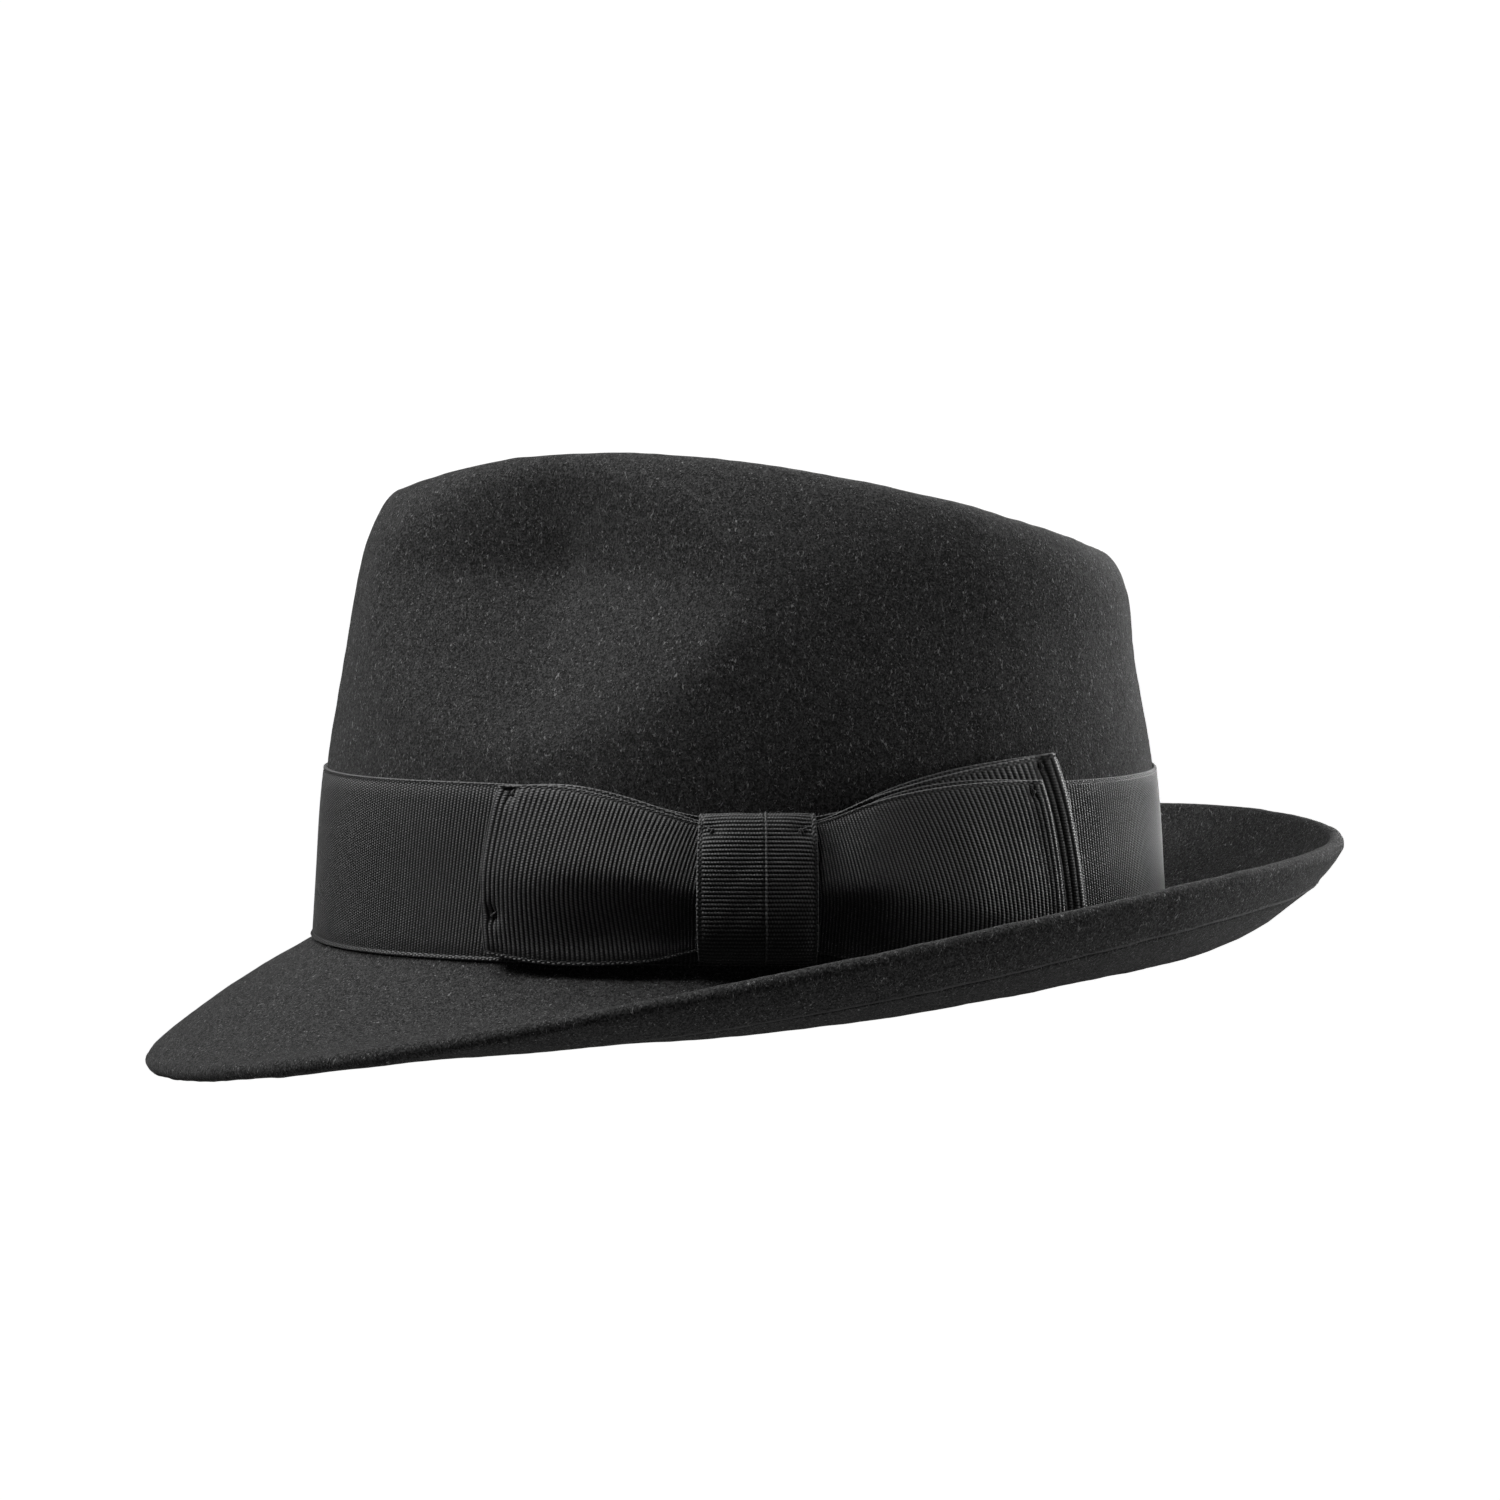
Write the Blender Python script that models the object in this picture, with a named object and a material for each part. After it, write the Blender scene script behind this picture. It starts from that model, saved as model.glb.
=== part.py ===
"""Felt fedora with a snapped-down front brim, a grosgrain band and a side bow.

Frame: metres, +Z up.  The origin is the centre of the head opening, level with the front
and back of the brim break, which is the line where crown and brim meet.  The hat's front
faces -Y and the wearer's left side, which carries the bow, is at +X.

Angles round the hat are measured from the front (0) over the wearer's left (90 degrees)
to the back (180 degrees).
"""
import math

import bmesh
import bpy
import numpy as np

# ---------------------------------------------------------------- driving dimensions (metres)
MM = 0.001
CROWN_LENGTH = 0.2036       # outside the felt at the brim break, front to back
CROWN_WIDTH = 0.174         # outside the felt at the brim break, side to side
BREAK_SIDE_RISE = 0.003     # the break is this much higher at the sides
TOP_LEAN = 0.030            # rise across the hand-creased top, towards the wearer's left
BREAK_ROUNDING = 0.003      # along the felt, each way from the break
BRIM_WIDTH = 0.050          # along the felt, from the break to the edge
FELT = 0.0022               # thickness of the felt
WELT_WIDTH = 0.011          # felt turned under along the brim's edge and felted down
EDGE = 0.0040               # thickness of the brim inside that welt
SNAP_LINE_Y = -0.1075       # the front brim snaps up and down about a line across the hat here
SNAP_LINE_Z = -0.0030
CUT = 0.0005                # between the front of the brim and the rest of the felt
RIBBON = 0.0007             # thickness of the grosgrain
BAND_FOOT, BAND_TOP = 0.0016, 0.0415    # heights up the crown, from the break
BAND_DIP = 0.0085           # the band is gathered by this much under the bow's knot
GAP = 0.0004                # between pieces that lie against each other
LINING = 0.0004
LINING_DEPTH = FELT + GAP   # from the felt's outside to the lining
LINING_FOOT = 0.030         # the lining's lower hem, tucked behind the sweatband
LINING_SEAM = 0.116         # between the lining's side and its tip, along the crown
LEATHER = 0.0010
SWEATBAND_DEPTH = LINING_DEPTH + LINING + GAP
SWEATBAND_FOOT, SWEATBAND_TOP = 0.0016, 0.0450
REED_RADIUS = 0.0007
TAPE_FOOT, TAPE_TOP = 0.0012, 0.0110
STITCH_HEIGHT = 0.0060
THREAD = 0.0005

# ---------------------------------------------------------------- mesh densities
ROUND_CELLS = 48            # cells round the felt, the lining and the sweatband
FINE_CELLS = 720            # the wall that the ribbons are laid on


# ---------------------------------------------------------------- curves round the hat
def around(count):
    """Angles round the hat, without the closing one."""
    return 2 * math.pi * np.arange(count) / count


def five_way(angle, front, fore, side, aft, back):
    """A smooth left-right symmetric value with these values at 0, 45, 90, 135 and 180 degrees."""
    given = np.array([front, fore, side, aft, back], float)
    waves = np.arange(5)
    weights = np.linalg.solve(np.cos(np.outer(waves * math.pi / 4, waves)), given)
    return np.cos(np.multiply.outer(angle, waves)) @ weights


def plan_ring(angle, half_length, half_width, height, fullness=1.0, taper=0.0, shift=0.0, lean=0.0):
    """A closed curve round the hat. A positive taper narrows it at the front and widens it at the back."""
    x = half_width * np.sin(angle) * (fullness - taper * np.cos(angle))
    y = shift - half_length * np.cos(angle)
    return np.stack([x, y, height + lean * x], axis=-1)


def spline_through(knots, values, at):
    """Natural cubic spline through values[k] at knots[k], along the first axis."""
    n = len(knots)
    h = np.diff(knots)
    system = np.zeros((n, n))
    right = np.zeros((n,) + values.shape[1:])
    system[0, 0] = system[-1, -1] = 1
    slopes = np.diff(values, axis=0) / h.reshape((-1,) + (1,) * (values.ndim - 1))
    for k in range(1, n - 1):
        system[k, k - 1:k + 2] = h[k - 1], 2 * (h[k - 1] + h[k]), h[k]
        right[k] = 6 * (slopes[k] - slopes[k - 1])
    bends = np.linalg.solve(system, right.reshape(n, -1)).reshape(right.shape)
    k = np.clip(np.searchsorted(knots, at, side="right") - 1, 0, n - 2)
    wide = (-1,) + (1,) * (values.ndim - 1)
    span = h[k].reshape(wide)
    before = (at - knots[k]).reshape(wide)
    after = span - before
    return (
        (bends[k] * after ** 3 + bends[k + 1] * before ** 3) / (6 * span)
        + (values[k] / span - bends[k] * span / 6) * after
        + (values[k + 1] / span - bends[k + 1] * span / 6) * before
    )


def bell(x):
    return np.exp(-x * x)


def smooth_step(x):
    x = np.clip(x, 0, 1)
    return x * x * (3 - 2 * x)


# ---------------------------------------------------------------- crown
def crown_rings(angle):
    """The crown's outside as closed curves from the break up over the ridge to the centre crease."""
    a = CROWN_LENGTH / 2
    b = CROWN_WIDTH / 2
    low = BREAK_SIDE_RISE * np.sin(angle) ** 2
    heights = [
        five_way(angle, .0620, .0630, .0630, .0610, .0600),
        five_way(angle, .0852, .0882, .0862, .0792, .0732),
        five_way(angle, .0979, .1024, .1007, .0919, .0844),
        five_way(angle, .1073, .1136, .1130, .1009, .0925),
        five_way(angle, .1039, .1095, .1080, .0975, .0900),
        five_way(angle, .0955, .0985, .0960, .0880, .0840),
        five_way(angle, .0905, .0890, .0865, .0820, .0810),
        five_way(angle, .0890, .0870, .0850, .0810, .0800),
    ]
    return np.array([
        plan_ring(angle, a, b, low, taper=0.03),
        plan_ring(angle, a - 0.0012, b - 0.0010, low + 0.020, taper=0.03),
        plan_ring(angle, a - 0.0030, b - 0.0030, low * 0.8 + 0.041, taper=0.03),
        plan_ring(angle, a - 0.0062, b - 0.0068, heights[0], taper=0.05, lean=0.3 * TOP_LEAN),
        plan_ring(angle, 0.0926, 0.0735, heights[1], 1.00, 0.09, 0.0012, 0.7 * TOP_LEAN),
        plan_ring(angle, 0.0901, 0.0670, heights[2], 0.97, 0.20, 0.0020, TOP_LEAN),
        plan_ring(angle, 0.0838, 0.0575, heights[3], 0.92, 0.33, 0.0024, TOP_LEAN),
        plan_ring(angle, 0.0730, 0.0455, heights[4], 0.88, 0.38, 0.0022, TOP_LEAN),
        plan_ring(angle, 0.0580, 0.0300, heights[5], 0.86, 0.38, 0.0020, TOP_LEAN),
        plan_ring(angle, 0.0440, 0.0140, heights[6], 0.86, 0.30, 0.0010, TOP_LEAN),
        plan_ring(angle, 0.0340, 0.0020, heights[7], lean=TOP_LEAN),
    ])


# Where those curves lie along the way from the break (0) to the crease, in metres of felt.
RING_PLACES = np.array([0, .020, .041, .063, .088, .102, .114, .127, .145, .164, .177])
CREASE = RING_PLACES[-1]
# The pinch that the fingers make on each side of the front.
PINCH_ANGLE = math.radians(58)
PINCH_HEIGHT = 0.0885
PINCH_DEPTH = 0.018
PINCH_FORE, PINCH_AFT = math.radians(31), math.radians(27.5)
PINCH_BELOW, PINCH_ABOVE = 0.033, 0.024
PINCH_BLUNT = 0.22          # rounding of its middle, and of its rim, as shares of its reach
PINCH_RIM = 0.09
PINCH_POWER = 1.5           # between a lozenge at 1 and an oval at 2
PINCH_FADE = 0.104, 0.124   # over these places on the ridge the pinch dies out


def pinch_depth(angle, height, place):
    """How far the pinch pushes the wall in: a blunt hollow with straight sides and a soft rim."""
    off = np.abs(np.arctan2(np.sin(angle), np.cos(angle))) - PINCH_ANGLE
    along = off / np.where(off < 0, PINCH_FORE, PINCH_AFT)
    rise = height - PINCH_HEIGHT
    up = rise / np.where(rise < 0, PINCH_BELOW, PINCH_ABOVE)
    reach = (np.abs(along) ** PINCH_POWER + np.abs(up) ** PINCH_POWER) ** (1 / PINCH_POWER)
    reach = np.sqrt(reach ** 2 + PINCH_BLUNT ** 2) - PINCH_BLUNT
    hollow = 0.5 * (1 - reach + np.sqrt((1 - reach) ** 2 + PINCH_RIM ** 2))
    hollow = hollow * (1 - smooth_step((reach - 1) / 0.4))
    fade = smooth_step((place - PINCH_FADE[0]) / (PINCH_FADE[1] - PINCH_FADE[0]))
    return PINCH_DEPTH * hollow * (1 - fade)


def crown_surface(angle, places):
    """The crown's outside, [place, angle, xyz], with its pinches."""
    places = np.asarray(places, float)
    points = spline_through(RING_PLACES, crown_rings(angle), places)
    inward = np.array([0, 0.2 * CROWN_LENGTH, 0]) - points
    inward[..., 1] *= 0.35
    inward[..., 2] = 0
    inward /= np.linalg.norm(inward, axis=-1, keepdims=True) + 1e-9
    depth = pinch_depth(angle[None, :], points[..., 2], places[:, None])
    return points + inward * depth[..., None]


# ---------------------------------------------------------------- brim
def brim_surface(angle, runs):
    """The brim's top, [run, angle, xyz]; a run is the distance along the felt from the break."""
    start = np.radians(five_way(angle, -28, -32, -37.5, -5.3, 5.4))
    finish = np.radians(five_way(angle, -41, -6, 70, 77.5, 66.5))
    curl = five_way(angle, 1.15, 1.37, 1.5, 1.4, 1.15)
    foot = crown_rings(angle)[0]
    along = crown_rings(angle + 1e-4)[0] - crown_rings(angle - 1e-4)[0]
    out = np.stack([along[:, 1], -along[:, 0]], axis=-1)
    out /= np.linalg.norm(out, axis=-1, keepdims=True)
    steps = np.linspace(0, BRIM_WIDTH, 201)
    slope = start + (finish - start) * (steps[:, None] / BRIM_WIDTH) ** curl
    stride = steps[1] * (slope[:-1] * 0 + 1)
    still = np.zeros((1, len(angle)))
    across = np.concatenate([still, np.cumsum(np.cos(slope[:-1]) * stride, axis=0)])
    rise = np.concatenate([still, np.cumsum(np.sin(slope[:-1]) * stride, axis=0)])
    runs = np.asarray(runs, float)
    across = np.stack([np.interp(runs, steps, column) for column in across.T], axis=1)
    rise = np.stack([np.interp(runs, steps, column) for column in rise.T], axis=1)
    points = np.repeat(foot[None], len(runs), axis=0)
    points[..., :2] += across[..., None] * out
    points[..., 2] += rise
    return points


# ---------------------------------------------------------------- the felt as one surface
def felt_outside(angle, path):
    """The felt's upper side, [path, angle, xyz]: negative up the crown, positive out along the brim."""
    path = np.asarray(path, float)
    r = BREAK_ROUNDING
    points = np.empty((len(path), len(angle), 3))
    up = path <= -r
    out = path >= r
    if up.any():
        points[up] = crown_surface(angle, -path[up])
    if out.any():
        points[out] = brim_surface(angle, path[out])
    turn = ~(up | out)
    if turn.any():
        wall = crown_surface(angle, [r])
        corner = crown_surface(angle, [0])
        flat = brim_surface(angle, [r])
        t = ((path[turn] + r) / (2 * r))[:, None, None]
        points[turn] = (1 - t) ** 2 * wall + 2 * t * (1 - t) * corner + t * t * flat
    return points


def felt_layer(angle, path, depth):
    """Points this far below the felt's upper side, [path, angle, xyz]."""
    path = np.asarray(path, float)
    step = 2e-4
    low = np.clip(path - step, -CREASE, BRIM_WIDTH)
    high = np.clip(path + step, -CREASE, BRIM_WIDTH)
    along = felt_outside(angle, high) - felt_outside(angle, low)
    turn = felt_outside(angle + 1e-3, path) - felt_outside(angle - 1e-3, path)
    normal = np.cross(along, turn)
    normal /= np.linalg.norm(normal, axis=-1, keepdims=True)
    return felt_outside(angle, path) - normal * np.reshape(depth, (-1, 1, 1))


# ---------------------------------------------------------------- the wall under the ribbons
WALL_ANGLES = 2 * math.pi * np.arange(FINE_CELLS + 1) / FINE_CELLS
WALL_HEIGHTS = np.linspace(0, 0.060, 61)
WALL = crown_surface(WALL_ANGLES, WALL_HEIGHTS)


def wall_normals():
    along = np.gradient(WALL, axis=0)
    turn = np.roll(WALL[:, :-1], -1, axis=1) - np.roll(WALL[:, :-1], 1, axis=1)
    normal = np.cross(turn, along[:, :-1])
    normal /= np.linalg.norm(normal, axis=-1, keepdims=True)
    return np.concatenate([normal, normal[:, :1]], axis=1)


WALL_NORMALS = wall_normals()


def look_up(table, angle, height):
    """Bilinear value of a wall table; below the break the wall goes straight on down."""
    column = np.mod(angle, 2 * math.pi) / (2 * math.pi) * FINE_CELLS
    row = height / (WALL_HEIGHTS[1] - WALL_HEIGHTS[0])
    i = np.clip(np.floor(column).astype(int), 0, FINE_CELLS - 1)
    j = np.clip(np.floor(row).astype(int), 0, len(WALL_HEIGHTS) - 2)
    s = (column - i)[..., None]
    t = (row - j)[..., None]
    lower = table[j, i] * (1 - s) + table[j, i + 1] * s
    upper = table[j + 1, i] * (1 - s) + table[j + 1, i + 1] * s
    return lower * (1 - t) + upper * t


def on_wall(angle, height, out):
    """Points this far outside the felt, at these angles and heights above the break."""
    angle, height, out = np.broadcast_arrays(angle, height, out)
    normal = look_up(WALL_NORMALS, angle, np.clip(height, 0, WALL_HEIGHTS[-1]))
    return look_up(WALL, angle, height) + normal * out[..., None]


# ---------------------------------------------------------------- closed bodies
def finish_object(name, vertices, faces, colour, roughness, origin=(0, 0, 0)):
    """A mesh object with its own material, its faces turned outward."""
    mesh = bpy.data.meshes.new(name)
    shifted = np.asarray(vertices, float) - np.array(origin)
    mesh.from_pydata([tuple(v) for v in shifted], [], faces)
    shell = bmesh.new()
    shell.from_mesh(mesh)
    bmesh.ops.recalc_face_normals(shell, faces=shell.faces[:])
    shell.to_mesh(mesh)
    shell.free()
    mesh.polygons.foreach_set("use_smooth", [True] * len(mesh.polygons))
    material = bpy.data.materials.new(name)
    material.use_nodes = True
    surface = material.node_tree.nodes["Principled BSDF"]
    surface.inputs["Base Color"].default_value = (*colour, 1)
    surface.inputs["Roughness"].default_value = roughness
    mesh.materials.append(material)
    made = bpy.data.objects.new(name, mesh)
    made.location = origin
    bpy.context.scene.collection.objects.link(made)
    return made


def across(ring, tip):
    """Faces that close a ring of indices from side to side; a tip ring starts at its own end."""
    half = len(ring) // 2
    left = ring[:half + 1] if tip else ring[:half]
    right = ([ring[0]] + ring[::-1])[:half + 1] if tip else ring[::-1][:half]
    faces = []
    for k in range(len(left) - 1):
        face = [left[k], left[k + 1], right[k + 1], right[k]]
        faces.append(list(dict.fromkeys(face)))
    return faces


def tube(rings, closed=False, tip=False, turn=None):
    """Vertices and faces through rings [ring, around, xyz]; closed joins the last ring to the first.

    From the turn row on, the rings run back along the other side of a sheet. The cells are then
    split so that both sides, and the sheets nested with them, crease along the same lines.
    """
    rows, columns = rings.shape[:2]
    faces = []
    for j in range(rows if closed else rows - 1):
        k = (j + 1) % rows
        for i in range(columns):
            n = (i + 1) % columns
            a, b, c, d = j * columns + i, j * columns + n, k * columns + n, k * columns + i
            if turn is None:
                faces.append([a, b, c, d])
            elif (j < turn) == (i < columns // 2):
                faces += [[a, b, c], [a, c, d]]
            else:
                faces += [[a, b, d], [b, c, d]]
    if not closed:
        faces += across(list(range(columns)), tip)
        faces += across(list(range((rows - 1) * columns, rows * columns)), tip)
    return rings.reshape(-1, 3), faces


def thick(surface, thickness):
    """The rings of a sheet about a middle surface [along, across, xyz]."""
    along = np.gradient(surface, axis=0)
    over = np.gradient(surface, axis=1)
    normal = np.cross(along, over)
    normal /= np.linalg.norm(normal, axis=-1, keepdims=True)
    front = surface + normal * thickness / 2
    back = surface - normal * thickness / 2
    return np.concatenate([front, back[:, ::-1]], axis=1)


def wall_ring(angles, heights, outs):
    """Rings round the hat from one closed profile; heights and outs may vary with the angle."""
    profile = [on_wall(angles, h, o) for h, o in zip(heights, outs)]
    return np.stack(profile, axis=0)


FELT_BLACK = (0.018, 0.018, 0.020)
RIBBON_BLACK = (0.022, 0.022, 0.024)
TACK_BLACK = (0.030, 0.030, 0.032)
LEATHER_BROWN = (0.080, 0.042, 0.022)
LINING_GREY = (0.060, 0.060, 0.066)
TAPE_BLACK = (0.035, 0.033, 0.032)
THREAD_BROWN = (0.140, 0.085, 0.050)


# ---------------------------------------------------------------- felt
CROWN_PLACES = np.array([
    .177, .171, .164, .155, .146, .137, .129, .122, .116, .110, .104, .097,
    .089, .080, .071, .062, .053, .046, .041, .030, .018, .008,
])


def felt_rings(angles):
    """The felt's section from the crease over the brim's edge and back up inside to the crease."""
    crown = -CROWN_PLACES
    turn = BREAK_ROUNDING * np.array([-1, -0.5, 0, 1])
    brim = np.array([.008, .015, .023, .031, .0382])
    welt = np.array([BRIM_WIDTH - WELT_WIDTH, .0445, BRIM_WIDTH - EDGE / 2])
    nose = np.array([BRIM_WIDTH - EDGE / 7, BRIM_WIDTH, BRIM_WIDTH - EDGE / 7])
    nose_depth = np.array([EDGE / 7, EDGE / 2, EDGE * 6 / 7])
    top = np.concatenate([crown, turn, brim, welt])
    under = np.concatenate([crown, turn, brim])
    path = np.concatenate([top, nose, welt[::-1], under[::-1]])
    depth = np.concatenate([top * 0, nose_depth, welt * 0 + EDGE, under * 0 + FELT])
    return felt_layer(angles, path, depth)


def cutter(name, low, high):
    """A hidden box that the felt is cut with."""
    corners = [(x, y, z) for x in (low[0], high[0]) for y in (low[1], high[1]) for z in (low[2], high[2])]
    sides = [(0, 1, 3, 2), (4, 6, 7, 5), (0, 4, 5, 1), (2, 3, 7, 6), (0, 2, 6, 4), (1, 5, 7, 3)]
    box = finish_object(name, corners, sides, FELT_BLACK, 0.9)
    box.hide_render = True
    box.display_type = "WIRE"
    return box


def cut_away(target, box):
    boolean = target.modifiers.new("cut", "BOOLEAN")
    boolean.operation = "DIFFERENCE"
    boolean.solver = "EXACT"
    boolean.object = box


def make_felt():
    rings = felt_rings(around(ROUND_CELLS))
    skin, faces = tube(rings, tip=True, turn=len(rings) // 2)
    ahead = cutter("cut_ahead", (-0.2, -0.25, -0.15), (0.2, SNAP_LINE_Y + CUT / 2, 0.2))
    behind = cutter("cut_behind", (-0.2, SNAP_LINE_Y - CUT / 2, -0.15), (0.2, 0.25, 0.2))
    body = finish_object("felt_body", skin, faces, FELT_BLACK, 0.95)
    cut_away(body, ahead)
    snapped = (0, SNAP_LINE_Y, SNAP_LINE_Z)
    front = finish_object("front_brim", skin, faces, FELT_BLACK, 0.95, origin=snapped)
    cut_away(front, behind)


# ---------------------------------------------------------------- band
KNOT_MIDDLE = math.radians(92.3)


def band_top(angle):
    """The band's upper edge; it dips where the bow's knot gathers it."""
    off = np.arctan2(np.sin(angle - KNOT_MIDDLE), np.cos(angle - KNOT_MIDDLE))
    return BAND_TOP - BAND_DIP * bell(off / math.radians(18))


def make_band():
    angles = around(ROUND_CELLS)
    top = band_top(angles)
    low = GAP
    high = GAP + RIBBON
    levels = (0, 0.35, 0.7, 1)
    heights = [BAND_FOOT + (top - BAND_FOOT) * level for level in levels]
    rings = wall_ring(angles, heights + heights[::-1], [high] * 4 + [low] * 4)
    finish_object("hatband", *tube(rings, closed=True), RIBBON_BLACK, 0.7)


# ---------------------------------------------------------------- bow
# Edges run from under the knot to the fold: (angle in degrees, height in mm).
FRONT_UPPER = [(89.5, 31.6), (84.8, 32.9), (78.0, 36.5), (72.2, 39.2), (66.2, 40.8), (58.5, 40.6)]
FRONT_LOWER = [(89.5, 5.6), (84.0, 3.9), (79.2, 1.8), (72.7, 0.8), (65.0, 0.8), (57.0, 2.0)]
REAR_UPPER = [(93.5, 31.6), (99.7, 33.0), (105.2, 36.5), (111.2, 39.4), (120.0, 41.4), (131.8, 41.8)]
REAR_LOWER = [(93.5, 5.6), (99.5, 3.9), (106.0, 1.8), (114.0, 1.0), (124.0, 1.2), (135.3, 2.0)]
FAN_UPPER = [(93.5, 32.0), (99.7, 33.4), (105.2, 37.4), (111.2, 41.0), (121.0, 44.9), (134.2, 48.2)]
FAN_LOWER = [(93.5, 6.0), (99.5, 4.5), (106.0, 3.4), (114.0, 3.0), (125.0, 3.0), (138.4, 3.4)]
# The ridge of each loop along the same way: (share of the width, height of the ridge in mm).
FRONT_RIDGE = [(.47, 2.5), (.50, 3.6), (.55, 4.6), (.55, 4.3), (.51, 2.6), (.46, 0.7)]
REAR_RIDGE = [(.47, 2.5), (.48, 3.4), (.44, 3.8), (.38, 3.0), (.26, 1.6), (.15, 0.5)]
FLAT = [(.5, 0.0)] * 6
FOLD = 0.0011               # between the middles of a loop's two layers
ARC = 0.100                 # radius that turns a length along the wall into an angle
KNOT_EDGES = (85.0, 99.4)
# The knot's section round the gathered loops: (height, out) in mm.
KNOT_SECTION = [
    (29.5, 1.9), (32.8, 1.9), (34.2, 2.5), (34.6, 3.6), (33.9, 5.4), (31.2, 7.0), (26.0, 8.3), (19.0, 8.9),
    (12.0, 8.5), (6.5, 7.3), (3.2, 5.3), (2.0, 3.5), (2.3, 2.5), (3.7, 1.9), (7.0, 1.9),
]


def along_curve(pairs, share):
    """Two spline values at a share of the way through evenly spaced pairs."""
    table = np.array(pairs, float)
    return spline_through(np.linspace(0, 1, len(table)), table, np.asarray(share, float))


def ridge_shape(width, middle):
    """A rounded ridge across the ribbon, 1 at its middle: a long slope above and a short one below."""
    reach = np.where(width > middle, 1 - middle, np.minimum(0.36, middle))
    t = np.sqrt(((width - middle) / reach) ** 2 + 0.02) - 0.14
    return 0.5 * (1 - t + np.sqrt((1 - t) ** 2 + 0.01))


def loop_surface(upper, lower, ridge, base, share, width, far, inner):
    """A loop's middle surface. far is a length past its end; inner blends to the layer beneath."""
    top = along_curve(upper, share)
    foot = along_curve(lower, share)
    crest = along_curve(ridge, share)
    level = width[None, :]
    angle = foot[:, :1] + (top[:, :1] - foot[:, :1]) * level
    height = foot[:, 1:] + (top[:, 1:] - foot[:, 1:]) * level
    outward = 1.0 if upper[-1][0] > upper[0][0] else -1.0
    near_knot = 1 - smooth_step((share - 0.22) / 0.25)
    outer = base[0] * near_knot[:, None] + base[1] * (1 - near_knot)[:, None]
    outer = outer + crest[:, 1:] * ridge_shape(level, crest[:, :1])
    under = base[2] * near_knot[:, None] + base[3] * (1 - near_knot)[:, None]
    out = outer * (1 - inner[:, None]) + under * inner[:, None]
    angle = np.radians(angle) + outward * far[:, None] / ARC
    return on_wall(angle, height * MM, out * MM)


def make_loop(name, upper, lower, ridge, base, under_stop):
    """A ribbon loop: its outer layer, the fold at its end and the layer beneath."""
    outer_cells, under_cells = 10, 7
    over = np.linspace(0, 1, outer_cells)
    under = np.linspace(1, under_stop, under_cells)
    share = np.concatenate([over, [1, 1, 1], under])
    turn = math.sin(math.pi / 4)
    half = FOLD / 2
    far = np.concatenate([np.zeros(outer_cells), [half * turn, half, half * turn], np.zeros(under_cells)])
    fold = [(1 - turn) / 2, 0.5, (1 + turn) / 2]
    inner = np.concatenate([np.zeros(outer_cells), fold, np.ones(under_cells)])
    width = np.linspace(0, 1, 9)
    rings = thick(loop_surface(upper, lower, ridge, base, share, width, far, inner), RIBBON)
    finish_object(name, *tube(rings), RIBBON_BLACK, 0.7)


def make_knot():
    section = np.array(KNOT_SECTION) * MM
    angle = np.radians(np.linspace(*KNOT_EDGES, 6))
    middle = on_wall(angle[None, :], section[:, :1], section[:, 1:])
    finish_object("bow_knot", *tube(thick(middle, RIBBON)), RIBBON_BLACK, 0.7)


def make_tack(name, degrees, height, out, lean):
    """A small stitch standing just off the ribbon; lean is its slope from upright in degrees."""
    lengths = np.array([-1.3, -0.9, 0.9, 1.3]) * MM
    radii = np.array([0.15, 0.33, 0.33, 0.15]) * MM
    spin = math.radians(lean)
    rings = []
    for length, radius in zip(lengths, radii):
        around_it = 2 * math.pi * np.arange(6) / 6
        side = radius * np.cos(around_it)
        up = height * MM + length * math.cos(spin) + side * math.sin(spin)
        along = length * math.sin(spin) - side * math.cos(spin)
        angle = math.radians(degrees) + along / ARC
        rings.append(on_wall(angle, up, out * MM + radius * np.sin(around_it)))
    finish_object(name, *tube(np.array(rings)), TACK_BLACK, 0.8)


def make_bow():
    make_loop("bow_front_loop", FRONT_UPPER, FRONT_LOWER, FRONT_RIDGE, (4.1, 3.1, 3.0, 2.0), 0.0)
    make_loop("bow_rear_loop", REAR_UPPER, REAR_LOWER, REAR_RIDGE, (4.1, 5.4, 4.1, 4.3), 0.45)
    make_loop("bow_rear_fan", FAN_UPPER, FAN_LOWER, FLAT, (3.0, 3.1, 3.0, 2.0), 0.45)
    make_knot()
    make_tack("bow_tack_1", 60.2, 38.5, 4.7, 40)
    make_tack("bow_tack_2", 58.4, 11.5, 4.9, 80)
    make_tack("bow_tack_3", 87.0, 30.5, 8.1, -60)
    make_tack("bow_tack_4", 97.4, 30.5, 8.1, 60)
    make_tack("bow_tack_5", 130.2, 38.5, 7.0, 5)
    make_tack("bow_tack_6", 133.0, 45.0, 4.3, 5)


# ---------------------------------------------------------------- inside
def make_lining():
    angles = around(ROUND_CELLS)
    places = CROWN_PLACES[(CROWN_PLACES <= LINING_SEAM) & (CROWN_PLACES >= LINING_FOOT)]
    outer = felt_layer(angles, -places, places * 0 + LINING_DEPTH)
    inner = felt_layer(angles, -places, places * 0 + LINING_DEPTH + LINING)
    rings = np.concatenate([outer, inner[::-1]])
    finish_object("lining_side", *tube(rings, closed=True, turn=len(places)), LINING_GREY, 0.35)
    places = np.append(CROWN_PLACES[CROWN_PLACES > LINING_SEAM], LINING_SEAM + 0.0012)
    outer = felt_layer(angles, -places, places * 0 + LINING_DEPTH)
    inner = felt_layer(angles, -places, places * 0 + LINING_DEPTH + LINING)
    rings = np.concatenate([outer, inner[::-1]])
    finish_object("lining_tip", *tube(rings, tip=True, turn=len(places)), LINING_GREY, 0.35)


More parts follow.
